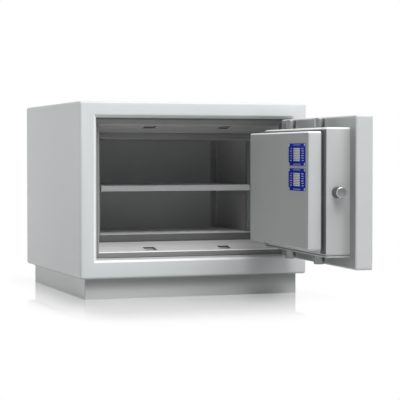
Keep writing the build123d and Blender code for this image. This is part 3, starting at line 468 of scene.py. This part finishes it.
def makeCasing(settings):
    opening = (mouth["half"], mouth["foot"], mouth["top"])
    outer = (casing["half"], casing["foot"], casing["top"])
    slope, flange = settings["mouthEdge"], settings["rearFlange"]
    front, rear = casing["front"], casing["rear"]
    rim = (opening[0] + slope, opening[1] - settings["footEdge"], opening[2] + slope, front)
    border = (outer[0] - flange, outer[1] + flange, outer[2] - flange)
    rings = [(*opening, front + settings["mouthDepth"]), (*opening, front + slope), rim, (*outer, front),
             (*outer, rear), (*border, rear), (*border, rear - settings["rearDrop"])]
    bm = sleeveForm(rings)
    long = [edge for edge in bm.edges if abs(runOf(edge).y) > (rear - front) / 2000]
    bevelled(bm, long + ringEdges(bm, rings[3], rings[4]), settings["edge"], 5)
    bevelled(bm, ringEdges(bm, rings[1], rim), settings["mouthRound"], 4)
    bevelled(bm, ringEdges(bm, rings[5]), settings["rearRound"], 3)
    bmesh.ops.recalc_face_normals(bm, faces=bm.faces)
    tilt, middle = settings["tilt"], (casing["foot"] + casing["top"]) / 2000
    for face in bm.faces:  # painted highlight: the mouth's bevel is lightest at its left and foot, where the light falls
        spot, way = face.calc_center_median(), face.normal
        slanted = (way.x > tilt and spot.x < 0) or (way.z > tilt and spot.z < middle)
        face.material_index = int(slanted and way.y < -tilt)
    skin = finished("casingSkin", bm, "casing_paint", "cabinet", ("outer_casing",), sorts=(tones["paintedHighlight"],))
    wall = skin.modifiers.new("sheet", "SOLIDIFY")
    wall.thickness = settings["sheet"] / 1000
    wall.offset = -1


def cutMouths(bm, settings, middle, out, spots, onPanel):  # square mouths for the bolts, with a short fold
    half, y = metres(settings, "pocketHalf", "pocketY")
    tagLayer = bm.faces.layers.int["tag"]
    along, inwards = Vector((0, 0, 0)), Vector((0, 1, 0))
    along[2 - out] = 1

    def panels():  # the taper's faces on one side of the opening
        return [face for face in bm.faces if face[tagLayer] == 4 and onPanel(face)]

    cuts = [(along * (spot + way * half), along) for spot in spots for way in (-1, 1)]
    cuts += [(inwards * (y + way * half), inwards) for way in (-1, 1)]
    for spot, across in cuts:
        faces = panels()
        around = dict.fromkeys(item for face in faces for item in (face, *face.edges, *face.verts))
        bmesh.ops.bisect_plane(bm, geom=list(around), dist=hair, plane_co=spot, plane_no=across)
    for face in panels():
        centre = face.calc_center_median()
        if abs(centre.y - y) > half or min(abs(centre[2 - out] - spot) for spot in spots) > half:
            continue
        deep = Vector((0, 0, 0))
        deep[out] = math.copysign(settings["fold"] / 1000, centre[out] - middle[out])
        fold = bmesh.ops.extrude_face_region(bm, geom=[face])["geom"]
        bmesh.ops.translate(bm, vec=deep, verts=only(BMVert, fold))
        bmesh.ops.delete(bm, geom=only(BMFace, fold), context="FACES_ONLY")
        if face.is_valid:
            bmesh.ops.delete(bm, geom=[face], context="FACES_ONLY")


# greys of the liner's faces: the risers, the lower riser, the top riser and the taper's top get painted
# shade, the seam faces a painted shadow line, and the rounded step edge a painted highlight
linerSorts = ("paint", "riserShade", "seam", "paintedHighlight", "footRiserShade", "topRiserShade", "taperTopShade")
linerTags = ("paint", "seam", "seam", "riserShade", "paint", "riserShade", "riserShade", "riserShade", "riserShade", "riserShade")


def sortOf(face, sort, sill, foot, upper):  # the grey that the photo shows on a face
    spot, tilt = face.calc_center_median(), min(abs(face.normal.y), abs(face.normal.z))
    away = abs(spot.y - sill)
    highlightNear, roomNear, sillNear = metres(linerSet, "highlightNear", "roomNear", "sillNear")
    if sort == "seam" and spot.z < foot:  # no shadow line along the foot
        return "riserShade"
    # painted highlight on the rounded step edge near the sill
    if tilt > linerSet["roundTilt"] and away < highlightNear and spot.z < upper:
        return "paintedHighlight"
    if abs(spot.y - room["front"] / 1000) < roomNear and spot.z < room["foot"] / 1000 + roomNear:
        return "footRiserShade"
    if spot.z > upper:
        if sort == "riserShade" and away < sillNear:
            return "topRiserShade"
        if sort == "paint" and spot.y > sill:
            return "taperTopShade"
    return sort


def makeLiner(settings):
    half, foot, top, front = mouth["half"], mouth["foot"], mouth["top"], casing["front"]

    def ring(inset, depth):
        return half - inset, foot + inset, top - inset, front + depth

    step, deep = settings["recess"], settings["taper"]
    gap, gapEnd = settings["gap"], step + settings["gapDepth"]
    inset, lip, lipEnd = settings["taperInset"], settings["lip"], deep + settings["lipDepth"]
    roomRing = (room["half"], room["foot"], room["top"])
    rings = [ring(0, bodySet["mouthDepth"]), (half, foot + settings["rise"], top, front + gapEnd),
             ring(gap, gapEnd), ring(gap, step), ring(settings["step"], step), ring(inset, deep),
             ring(inset, lipEnd), ring(inset + lip, lipEnd), ring(inset + lip, deep),
             (*roomRing, front + deep), (*roomRing, front + deep + settings["tuck"])]
    bm = sleeveForm(rings, [linerSorts.index(tag) for tag in linerTags])
    middle, at = Vector((0, 0, (foot + top) / 2000)), settings["pocketAt"] / 1000
    cutMouths(bm, settings, middle, 2, (-at, at), lambda face: abs(face.normal.z) > 0.5)  # foot and top
    cutMouths(bm, settings, middle, 0, (middle.z,),  # the left wall
              lambda face: abs(face.normal.x) > 0.5 and face.calc_center_median().x < 0)
    for place in (4, 9):
        bevelled(bm, ringEdges(bm, rings[place]), settings["lipRound"], 3)
    bmesh.ops.recalc_face_normals(bm, faces=bm.faces)
    bmesh.ops.reverse_faces(bm, faces=bm.faces)
    sill, upper = (front + step) / 1000, middle.z + settings["upper"] / 1000
    for face in bm.faces:
        sort = sortOf(face, linerSorts[face.material_index], sill, (foot + gap + 1) / 1000, upper)
        face.material_index = linerSorts.index(sort)
    finished("rebateLiner", bm, "lining_paint", "cabinet", ("rebate_lining",),
             sorts=[tones[sort] for sort in linerSorts[1:]])


def makeContainer():
    ring = (room["half"], room["foot"], room["top"])
    rings = [(*ring, room["front"] + linerSet["tuck"]), (*ring, room["rear"])]
    bm = sleeveForm(rings)
    bmesh.ops.edgeloop_fill(bm, edges=ringEdges(bm, rings[1]))
    rim = ringEdges(bm, rings[0])
    bevelled(bm, [edge for edge in bm.edges if edge not in rim], room["round"], 3)
    bmesh.ops.recalc_face_normals(bm, faces=bm.faces)
    bmesh.ops.reverse_faces(bm, faces=bm.faces)
    finished("containerShell", bm, "container_paint", "cabinet", ("inner_container",), sharp=60)


def makeBack(settings):  # pressed panel in the casing's back, with screws
    reach = bodySet["rearFlange"] + settings["seam"]
    half, foot, top = casing["half"] - reach, casing["foot"] + reach, casing["top"] - reach
    face, inset, slope = settings["face"], settings["pressIn"], settings["slope"]
    pressed = (half - inset, foot + inset, top - inset)
    edge = (pressed[0] + slope, pressed[1] - slope, pressed[2] + slope)
    rings = [(half, foot, top, face - settings["thick"]), (half, foot, top, face), (*edge, face),
             (*pressed, face + settings["press"])]
    bm = sleeveForm(rings)
    bmesh.ops.edgeloop_fill(bm, edges=ringEdges(bm, rings[3]))
    thick = settings["thick"] / 1000
    corners = [edge for edge in bm.edges if abs(abs(runOf(edge).y) - thick) < hair]
    bevelled(bm, corners, settings["round"], 4)
    bevelled(bm, ringEdges(bm, rings[2], rings[3]), settings["pressRound"], 3)
    bmesh.ops.recalc_face_normals(bm, faces=bm.faces)
    finished("backPanelPressed", bm, "casing_paint", "cabinet", ("rear_panel",))
    columns, rows = settings["columns"] - 1, settings["rows"] - 1
    places = [(-1 + 2 * step / columns, side) for step in range(columns + 1) for side in (-1, 1)]
    places += [(side, -1 + 2 * step / rows) for step in range(1, rows) for side in (-1, 1)]
    across, up = half - settings["screwIn"], (top - foot) / 2 - settings["screwIn"]
    spots = [Vector((x * across, face, (foot + top) / 2 + z * up)) / 1000 for x, z in places]
    screws = [stood(turnedForm(settings["screw"], 28), spot, (0, 1, 0)) for spot in spots]
    finished("backScrews", gathered(screws), "zinc_steel", "cabinet")


makeCasing(bodySet)
makeBack(backSet)
makeLiner(linerSet)
makeContainer()
print("stage: casing, liner and container")

# Bolts with a chamfered and faced end. The latch bolt's chamfer is polished, in a lighter steel that is in
# part a painted highlight
boltSet = {"chamfer": 1.6, "latchChamfer": 1.1, "ease": 0.5, "face": 0.12, "polish": (0.15, 0.98)}


def boltProfile(radius, length, edge):
    face = length - boltSet["face"]
    return [(0, 0), (radius - 0.4, 0), (radius, 0.4), (radius, length - edge - boltSet["ease"]),
            (radius - 0.2, length - edge), (radius - edge, length - 0.15), (radius - edge - 0.35, length),
            (radius - edge - 0.8, length), (radius - edge - 1.0, face), (0, face)]


def makeBolts(settings):
    for node, body, way in (("top_bolts", "top_boltwork", 1), ("bottom_bolts", "bottom_boltwork", -1)):
        low, high = shutBox(node)
        radius = (high.y - low.y) / 2
        root = low.z if way > 0 else high.z
        profile = boltProfile(radius * 1000, (high.z - low.z) * 1000, settings["chamfer"])
        forms = [stood(turnedForm(profile), (x, (low.y + high.y) / 2, root), (0, 0, way))
                 for x in (low.x + radius, high.x - radius)]
        name = node.replace("_b", "B") + "Turned"
        finished(name, gathered(forms), "bolt_steel", body, (node,), onDoor=True)
    low, high = shutBox("latch_bolt")
    middle = (low + high) / 2
    profile = boltProfile((high.z - low.z) * 500, (high.x - low.x) * 1000, settings["latchChamfer"])
    form = turnedForm(profile, 64)
    flattest, steepest = settings["polish"]
    for face in form.faces:
        face.material_index = int(flattest < abs(face.normal.z) < steepest)
    finished("latchBoltTurned", stood(form, (high.x, middle.y, middle.z), (-1, 0, 0)), "latch_chrome",
             "latch_boltwork", ("latch_bolt",), onDoor=True, sorts=(tones["polished"],))


makeBolts(boltSet)
print("stage: bolts")

# Lever handle, its rose, the keyhole cover and its pivot, on the front of the door
handleSet = {"thick": 9, "tip": 10, "hubIn": 0.5, "leverBevel": 3.2, "backBevel": 1.5, "hubRing": 1.2,
             "ringDepth": 0.7, "roseStep": 4.5, "coverBevel": 0.9, "shank": 2.45}


def hullForm(circles, thick):  # outline round two circles, made thick towards +Y
    bm = bmesh.new()
    for x, z, radius in circles:
        turn = Matrix.Translation((x, 0, z)) @ Matrix.Rotation(math.pi / 2, 4, "X")
        bmesh.ops.create_circle(bm, segments=48, radius=radius, matrix=turn)
    hull = bmesh.ops.convex_hull(bm, input=bm.verts)
    bmesh.ops.delete(bm, geom=only(BMVert, hull["geom_interior"]), context="VERTS")
    bmesh.ops.dissolve_limit(bm, angle_limit=0.01, verts=bm.verts, edges=bm.edges)
    if len(bm.faces) > 1:
        bmesh.ops.delete(bm, geom=list(bm.faces)[1:], context="FACES_ONLY")
    return thickened(bm, thick)


def rimEdges(bm, y):  # edges of the flat face that lies at y
    return [edge for edge in bm.edges if all(abs(vertex.co.y - y) < hair for vertex in edge.verts)]


def frontTurned(profile, spot, steps=56):  # a turned form that stands on the door's front
    return stood(turnedForm(profile, steps), spot, (0, -1, 0))


def makeHandle(settings):
    low, high = shutBox("handle")
    hub, length = (high.x - low.x) / 2, (high.y - low.y) * 1000
    x, z = (low.x + high.x) / 2, high.z - hub
    thick, tip, hubIn = metres(settings, "thick", "tip", "hubIn")
    lever = hullForm([(x, z, hub - hubIn), (x, low.z + tip, tip)], thick)
    bevelled(lever, rimEdges(lever, 0), settings["leverBevel"], 5)
    bevelled(lever, rimEdges(lever, thick), settings["backBevel"], 3)
    bmesh.ops.translate(lever, vec=(0, low.y, 0), verts=lever.verts)
    radius, ring, deep = hub * 1000, settings["hubRing"], settings["ringDepth"]
    profile = [(0, 0), (radius - 1.2, 0), (radius - 0.4, 0.3), (radius, 1.2), (radius, 3.4),
               (radius - deep, 3.6), (radius - deep, 3.6 + ring), (radius, 3.8 + ring), (radius - 2.5, 14),
               (radius - 3, length - 8), (radius - 3, length - 4), (0, length - 4)]
    forms = [lever, frontTurned(profile, (x, high.y, z))]
    finished("leverHandle", gathered(forms), "handle_chrome", "handle_drive", ("handle",), onDoor=True)


def makeRose(settings):
    low, high = shutBox("handle_rose")
    radius, thick = (high.x - low.x) * 500, (high.y - low.y) * 1000
    inner = radius - settings["roseStep"]
    profile = [(0, 0), (radius, 0), (radius, 1.4), (radius - 0.5, 2.0), (inner, 2.6), (inner - 0.4, 2.2),
               (inner - 1.2, 2.2), (inner - 1.6, 2.9), (inner - 4, thick - 1.2), (inner - 6, thick - 0.2),
               (inner - 8, thick), (0, thick)]
    rose = frontTurned(profile, ((low.x + high.x) / 2, high.y, (low.z + high.z) / 2), 72)
    finished("handleRoseTurned", rose, "handle_chrome", "door", ("handle_rose",), onDoor=True)


def makeKeyCover(settings):
    low, high = shutBox("key_cover")
    pivotLow, pivotHigh = shutBox("cover_pivot")
    x, pivotZ = (low.x + high.x) / 2, (pivotLow.z + pivotHigh.z) / 2
    half = (high.x - low.x) / 2
    cover = hullForm([(x, pivotZ, high.z - pivotZ), (x, low.z + half, half)], high.y - low.y)
    bevelled(cover, rimEdges(cover, 0), settings["coverBevel"], 3)
    bmesh.ops.translate(cover, vec=(0, low.y, 0), verts=cover.verts)
    finished("keyCoverDomed", cover, "handle_chrome", "keyhole_cover", ("key_cover",), onDoor=True)
    radius, tall = (pivotHigh.x - pivotLow.x) * 500, (pivotHigh.y - pivotLow.y) * 1000
    shank = settings["shank"]
    profile = [(0, 0), (shank, 0), (shank, tall - 2.6), (radius, tall - 2.5), (radius, tall - 1.7),
               (radius - 0.5, tall - 0.9), (radius - 1.6, tall - 0.3), (radius - 3, tall), (0, tall)]
    rivet = frontTurned(profile, (x, pivotHigh.y, pivotZ), 36)
    finished("coverRivet", rivet, "handle_chrome", "door", ("cover_pivot",), onDoor=True)


makeHandle(handleSet)
makeRose(handleSet)
makeKeyCover(handleSet)
print("stage: handle and keyhole")

# Barrel hinges: chamfered knuckles, flat straps with eased edges, domed pin ends and socket screws
hingeSet = {"knuckle": 32, "radius": 8, "bore": 4.05, "ease": 0.8, "strap": 4, "strapIn": 5.5,
            "strapRound": 4, "strapEase": 0.5, "pinTall": 66, "pinDome": 1.2, "screwIn": 4.5,
            "screwFace": 2.1, "socket": 2.2, "socketDeep": 1.4}


def knuckleForm(settings, z):
    ease, tall, radius, bore = (settings[key] for key in ("ease", "knuckle", "radius", "bore"))
    profile = [(bore, 0), (radius - ease, 0), (radius - 0.2, 0.3), (radius, ease), (radius, tall - ease),
               (radius - 0.2, tall - 0.3), (radius - ease, tall), (bore, tall), (bore, 0)]
    return stood(turnedForm(profile, 44), (hingeSpot.x, hingeSpot.y, z))


def strapForm(settings, left, right, z):  # the corners away from the barrel are rounded
    front = casing["front"] / 1000
    low = Vector((left, front - settings["strap"] / 1000, z))
    bm = boxForm(low, (right, front, z + settings["knuckle"] / 1000))
    across = edgesAlongY(bm)
    far = max(across, key=lambda edge: abs(edge.verts[0].co.x - hingeSpot.x)).verts[0].co.x
    bevelled(bm, [edge for edge in across if abs(edge.verts[0].co.x - far) < hair], settings["strapRound"], 5)
    bevelled(bm, rimEdges(bm, low.y), settings["strapEase"], 2)
    return bm


def makeHinges(settings):
    frameLow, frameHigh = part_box("hinge_frame_plates")
    strapLow, strapHigh = shutBox("hinge_leaf_straps")
    screwLow, screwHigh = shutBox("hinge_screws")
    pinLow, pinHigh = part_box("hinge_pins")
    knuckle, strapIn, screwIn = metres(settings, "knuckle", "strapIn", "screwIn")
    tall, dome, socket, deep = (settings[key] for key in ("pinTall", "pinDome", "socket", "socketDeep"))
    pinProfile = [(0, 0), (5.5, 0), (7, 0.6), (7, 1), (4, 1.02), (4, tall - dome), (3.6, tall - 0.4),
                  (2.4, tall), (0, tall)]
    screwProfile = [(0, -1.5), (2.5, -1.5), (2.5, 0), (4.4, 1.9), (4.5, 2.0), (socket + 0.2, 2.0),
                    (socket, 1.8), (socket, 2.0 - deep), (0, 1.8 - deep)]
    frames, straps, pins, screws = [], [], [], []
    for base, lift, foot in ((frameLow.z, strapLow.z, pinLow.z),
                             (frameHigh.z - knuckle, strapHigh.z - knuckle, pinHigh.z - tall / 1000)):
        frames += [knuckleForm(settings, base), strapForm(settings, hingeSpot.x + strapIn, frameHigh.x, base)]
        straps += [knuckleForm(settings, lift), strapForm(settings, strapLow.x, hingeSpot.x - strapIn, lift)]
        pins.append(stood(turnedForm(pinProfile, 40), (hingeSpot.x, hingeSpot.y, foot)))
        for x in (screwLow.x + screwIn, screwHigh.x - screwIn):
            spot = (x, (casing["front"] - settings["screwFace"]) / 1000, lift + knuckle / 2)
            screws.append(frontTurned(screwProfile, spot, 36))
    finished("hingeFrameKnuckles", gathered(frames), "hinge_steel", "cabinet", ("hinge_frame_plates",))
    finished("hingeStraps", gathered(straps), "hinge_steel", "door", ("hinge_leaf_straps",), onDoor=True)
    finished("hingePinsDomed", gathered(pins), "zinc_steel", "cabinet", ("hinge_pins",))
    finished("strapScrews", gathered(screws), "zinc_steel", "door", ("hinge_screws",), onDoor=True)


makeHinges(hingeSet)
print("stage: hinges")

# Two enamelled plates: pale ribbed field, ruled lines, plain ticks, pale corners and domed rivets
plateSet = {"tall": 54.5, "gap": 7, "fieldTall": 33, "round": 1.6, "ease": 0.3, "slabEase": 0.12, "ribs": 8,
            "rib": 2.9, "ribIn": 1, "ribFoot": 0.4, "ribTop": 0.8, "line": 1, "lineIn": 34, "proud": 0.12,
            "edge": 3.2, "ticks": 6, "tick": 1.6, "tickFoot": 1.2, "tickPitch": 5.8, "leftTick": (11, 23, 2),
            "rightTick": (24, 12, 4), "corner": 6, "cornerIn": 0.8, "rivetInX": 2, "rivetInZ": 4,
            "rivet": [(0, 0), (2, 0), (2, 0.25), (1.6, 0.75), (0.9, 1.1), (0, 1.2)]}


def slabForm(spotA, spotB, ease=plateSet["slabEase"]):  # a box, with the rim of its top face eased
    bm = boxForm([min(pair) for pair in zip(spotA, spotB)], [max(pair) for pair in zip(spotA, spotB)])
    if ease:
        bevelled(bm, rimEdges(bm, max(spotA[1], spotB[1])), ease, 2)
    return bm


def plateForm(settings, low, high):  # low and high: the plate's own corners
    blue = slabForm(low, high, 0)
    bevelled(blue, edgesAlongY(blue), settings["round"], 4)
    return bevelled(blue, rimEdges(blue, high.y), settings["ease"], 2)


def makePlates(settings):
    low, high = shutBox("test_plates")
    fieldLow, fieldHigh = shutBox("plate_fields")
    rivetLow, rivetHigh = shutBox("plate_rivets")
    tall, gap, fieldTall, edge = metres(settings, "tall", "gap", "fieldTall", "edge")
    corner, cornerIn, line, lineIn = metres(settings, "corner", "cornerIn", "line", "lineIn")
    rib, ribIn = metres(settings, "rib", "ribIn")
    tick, tickFoot, tickPitch, rivetX, rivetZ = metres(settings, "tick", "tickFoot", "tickPitch", "rivetInX",
                                                       "rivetInZ")
    leftFrom, leftTo, leftStep = (part / 1000 for part in settings["leftTick"])
    rightFrom, rightTo, rightStep = (part / 1000 for part in settings["rightTick"])
    y = high.y
    top, ribFoot, ribTop = (y + height for height in metres(settings, "proud", "ribFoot", "ribTop"))
    blues, backs, pales, inks, rivets, corners = [], [], [], [], [], []
    for row in (0, 1):
        base = low.z + row * (tall + gap)
        head, foot = base + tall, base + tall / 2 - fieldTall / 2
        blues.append(plateForm(settings, Vector((low.x, low.y, base)), Vector((high.x, y, head))))
        backs.append(slabForm((fieldLow.x, y, foot), (fieldHigh.x, ribFoot, foot + fieldTall)))
        for step in range(settings["ribs"]):
            at = foot + (step + 0.5) * fieldTall / settings["ribs"]
            pales.append(slabForm((fieldLow.x + ribIn, ribFoot, at - rib / 2),
                                  (fieldHigh.x - ribIn, ribTop, at + rib / 2)))
        for z in (base + edge, head - edge - line):
            inks.append(slabForm((low.x + lineIn, y, z), (high.x - lineIn, top, z + line), 0))
        for step in range(settings["ticks"]):  # plain ticks beside the field, of uneven length
            z = foot + tickFoot + step * tickPitch
            for start, end in ((low.x + leftFrom, low.x + leftTo + step % 3 * leftStep),
                               (high.x - rightFrom, high.x - rightTo - step % 2 * rightStep)):
                inks.append(slabForm((start, y, z), (end, top, z + tick), 0))
        for x in (low.x + cornerIn, high.x - cornerIn - corner):
            for z in (base + cornerIn, head - cornerIn - corner):
                corners.append(slabForm((x, y, z), (x + corner, top, z + corner), 0))
        for x in (rivetLow.x + rivetX, rivetHigh.x - rivetX):
            for z in (base + rivetZ, head - rivetZ):
                rivets.append(stood(turnedForm(settings["rivet"], 20), (x, y, z), (0, 1, 0)))
    finished("bluePlates", gathered(blues), "plate_blue", "door", ("test_plates",), onDoor=True)
    for name, forms, stands, finish in (
            ("fieldBacks", backs, ("plate_fields",), tones["fieldBack"]), ("fieldRibs", pales, (), None),
            ("plateLines", inks, (), tones["ink"]), ("plateCorners", corners, (), None),
            ("plateRivets", rivets, ("plate_rivets",), None)):
        finished(name, gathered(forms), "plate_pale", "door", stands, finish, onDoor=True)


makePlates(plateSet)
print("stage: plates")

# Seal in the groove: a strip with a slightly darker bead along its middle
sealSet = {"wall": 3, "bead": 1.0, "beadWide": 2.2, "beadBack": 1, "beadRound": 0.6}


def frameForm(low, high, wall):  # rectangular ring in XZ, from low.y to high.y
    bm = bmesh.new()
    size = Matrix.Diagonal((high.x - low.x, high.z - low.z, 1, 1))
    turn = Matrix.Translation(((low.x + high.x) / 2, low.y, (low.z + high.z) / 2))
    bmesh.ops.create_grid(bm, x_segments=1, y_segments=1, size=0.5,
                          matrix=turn @ Matrix.Rotation(math.pi / 2, 4, "X") @ size)
    bmesh.ops.inset_region(bm, faces=list(bm.faces), thickness=wall, use_even_offset=True, use_boundary=True)
    middle = min(bm.faces, key=lambda face: (face.calc_center_median() - turn.translation).length)
    bmesh.ops.delete(bm, geom=[middle], context="FACES_ONLY")
    return thickened(bm, high.y - low.y)


def makeSeal(settings):
    low, high = shutBox("groove_seal")
    wall, proud, wide, back = metres(settings, "wall", "bead", "beadWide", "beadBack")
    strip, middle = frameForm(low, high, wall), (low.y + high.y) / 2
    beadLow = Vector((low.x - proud, middle - wide / 2, low.z - proud))
    beadHigh = Vector((high.x + proud, middle + wide / 2, high.z + proud))
    bead = frameForm(beadLow, beadHigh, proud + back)

    def outside(spot):
        return min(abs(spot[axis] - side[axis]) for axis in (0, 2) for side in (beadLow, beadHigh)) < hair

    outer = [edge for edge in bead.edges
             if abs(runOf(edge).y) < hair and all(outside(vertex.co) for vertex in edge.verts)]
    bevelled(bead, outer, settings["beadRound"], 3)
    finished("sealStrip", strip, "seal_grey", "door", ("groove_seal",), finishes["groove_dark"], onDoor=True)
    finished("sealBead", bead, "seal_grey", "door", onDoor=True)


makeSeal(sealSet)
print("stage: seal")

# Housing and cover of the door: pressed shells with a seam, and a dark strip of painted shadow on the
# housing's ledge
shellSet = {"longRound": 5.5, "sideRound": 1.1, "coverRound": 3, "coverDrop": 0.9, "ledgeDrop": 3.6,
            "paintedHighlight": (0.45, 0.995), "base": 3, "baseIn": 0.5, "baseEase": 0.4, "seam": 1.4, "coreInX": 2,
            "coreInY": 3, "coreInZ": 1, "coreTop": 20, "shadeStrip": 3, "shadeStripIn": 1.4, "shadeStripWide": 30}


def shellForm(settings, low, high, sideRound):
    bm = boxForm(low, high)
    level = [edge for edge in bm.edges if abs(runOf(edge).z) < hair
             and max(vertex.co.y for vertex in edge.verts) > high.y - hair]
    bevelled(bm, level, settings["longRound"], 5)
    upright = [edge for edge in bm.edges if abs(runOf(edge).z) > (high.z - low.z) / 2
               and min(vertex.co.y for vertex in edge.verts) > high.y - hair]
    bevelled(bm, upright, sideRound, 4)
    flattest, steepest = settings["paintedHighlight"]
    for face in bm.faces:  # painted highlight: lightest on the rounded upper edge, where the light from above falls
        face.material_index = int(flattest < face.normal.z < steepest)
    return bm


def makeShells(settings):
    low, high = shutBox("boltwork_housing")
    ledgeDrop, coverDrop = metres(settings, "ledgeDrop", "coverDrop")
    base, seam, baseIn = metres(settings, "base", "seam", "baseIn")
    inX, inY, inZ, coreTop = metres(settings, "coreInX", "coreInY", "coreInZ", "coreTop")
    high.y -= ledgeDrop
    housing = shellForm(settings, low + Vector((0, 0, base + seam)), high, settings["sideRound"])
    foot = boxForm(low, (high.x, high.y - baseIn, low.z + base))
    bevelled(foot, foot.edges, settings["baseEase"], 2)
    core = boxForm((low.x + inX, low.y, low.z + inZ), (high.x - inX, high.y - inY, low.z + coreTop))
    for face in core.faces:
        face.material_index = 2
    finished("housingShell", gathered([housing, foot, core]), "door_paint", "door", ("boltwork_housing",),
             onDoor=True, sorts=(tones["paintedHighlight"], tones["seam"]))
    coverLow, coverHigh = shutBox("inner_cover")
    coverLow.y -= coverDrop
    cover = shellForm(settings, coverLow, coverHigh, settings["coverRound"])
    finished("coverShell", cover, "cover_paint", "door", ("inner_cover",), onDoor=True,
             sorts=(tones["paintedHighlight"],))


def makeLedgeShade(settings):  # a dark strip of painted shadow, up both sides and along the top of the ledge
    low, high = shutBox("boltwork_housing")
    drop, thick, side, wide, level, base = metres(settings, "ledgeDrop", "shadeStrip", "shadeStripIn", "shadeStripWide",
                                                  "longRound", "base")
    back, front = high.y - drop, high.y - drop + thick
    left, right, foot, top = low.x + side, high.x - side, low.z + base + level, high.z - level
    strips = [slabForm((left, back, foot), (left + wide, front, top)),
              slabForm((right - wide, back, foot), (right, front, top)),
              slabForm((left + wide, back, top - wide), (right - wide, front, top))]
    finished("ledgeShadeStrip", gathered(strips), "groove_dark", "door", finish=tones["shadeStrip"], onDoor=True)


makeShells(shellSet)
makeLedgeShade(shellSet)
print("stage: door shells")

# White floor that mirrors the plinth faintly and keeps a soft shadow near it, and soft studio light
floorSet = {"size": 40, "half": (0.306, 0.293, 1), "reach": (3.2, 1, 1), "mirror": 1.1, "mirrorFar": 0.72,
            "shade": 0.25, "shadeFar": 0.3, "tone": 0.58, "rough": 0.6, "polish": 0.04, "ior": 1.5}
lampSet = {  # by name: place, aim, size in m and power in W
    "overheadSoftbox": ((0.3, -1.7, 2.9), (0, -0.3, 0.2), (2.4, 1.8), 98),
    "frontSoftbox": ((0.1, -3.5, 2.7), (0, -0.4, 0.3), (1.6, 1.2), 20),
    "rightSoftbox": ((1.5, -3.4, 0.7), (0.2, -0.4, 0.2), (0.9, 0.9), 7),
    "leftSoftbox": ((-2.6, 1.9, 0.7), (-0.3, 0.1, 0.25), (1.4, 1.2), 26),
    "lowFill": ((0.50, -0.52, 0.035), (0.20, -0.3, 0.02), (0.2, 0.05), 0.05),
}
worldSet = {"light": 0.08}


def makeFloor(settings):
    bm = bmesh.new()
    bmesh.ops.create_grid(bm, x_segments=1, y_segments=1, size=settings["size"])
    mesh = bpy.data.meshes.new("studioFloor")
    bm.to_mesh(mesh)
    bm.free()
    floor = bpy.data.objects.new("studioFloor", mesh)
    bpy.context.scene.collection.objects.link(floor)
    finish = Finish("studioFloor")
    where = finish.vector("ABSOLUTE", finish.add("ShaderNodeTexCoord", output="Object"))
    for operation, value in (("SUBTRACT", settings["half"]), ("MAXIMUM", (0, 0, 0)),
                             ("MULTIPLY", settings["reach"])):
        where = finish.vector(operation, where, value)
    away = finish.vector("LENGTH", where, output="Value")  # from the plinth's outline
    seen = finish.add("ShaderNodeLightPath", output="Is Camera Ray")
    gloss = finish.add("ShaderNodeLightPath", output="Is Glossy Ray")
    finish.put("Base Color", tint((1, 1, 1), settings["tone"]))
    finish.put("Roughness", settings["rough"])
    white = finish.add("ShaderNodeEmission", {}, {"Strength": 1})
    mirror = finish.add("ShaderNodeBsdfGlossy", {}, {"Color": (1, 1, 1, 1), "Roughness": settings["polish"]})
    own = Reading(finish.tree, finish.shader.outputs[0])
    clear = 1 - finish.ranged(away, 0, settings["shadeFar"], settings["shade"], 0)
    shaded = finish.add("ShaderNodeMixShader", {}, {0: clear * (seen + gloss), 1: own, 2: white})
    slant = finish.add("ShaderNodeFresnel", {}, {"IOR": settings["ior"]})
    shine = finish.ranged(away, 0, settings["mirrorFar"], settings["mirror"], 0)
    mixed = finish.add("ShaderNodeMixShader", {}, {0: shine * slant * seen, 1: shaded, 2: mirror})
    finish.tree.links.new(mixed.socket, finish.tree.nodes["Material Output"].inputs["Surface"])
    mesh.materials.append(finish.material)


def makeLamps(lamps):
    for name, (place, target, size, power) in lamps.items():
        data = bpy.data.lights.new(name, "AREA")
        data.shape = "RECTANGLE"
        data.size, data.size_y = size
        data.energy = power
        light = bpy.data.objects.new(name, data)
        light.location = place
        light.rotation_mode = "QUATERNION"
        light.rotation_quaternion = (Vector(target) - Vector(place)).to_track_quat("-Z", "Y")
        bpy.context.scene.collection.objects.link(light)


def makeWorld(settings):  # white where it is seen, faint where it lights
    sky = bpy.data.worlds.new("studioWorld")
    bpy.context.scene.world = sky
    sky.use_nodes = True
    tree = sky.node_tree
    back = tree.nodes["Background"]
    rays = tree.nodes.new("ShaderNodeLightPath")
    seen = Reading(tree, rays.outputs["Is Camera Ray"])
    for kind in ("Is Transmission Ray", "Is Glossy Ray"):
        seen = seen + Reading(tree, rays.outputs[kind])
    strength = seen * (1 - settings["light"]) + settings["light"]
    back.inputs["Color"].default_value = (1, 1, 1, 1)
    tree.links.new(strength.socket, back.inputs["Strength"])


makeFloor(floorSet)
makeLamps(lampSet)
makeWorld(worldSet)
print("stage: floor and light")
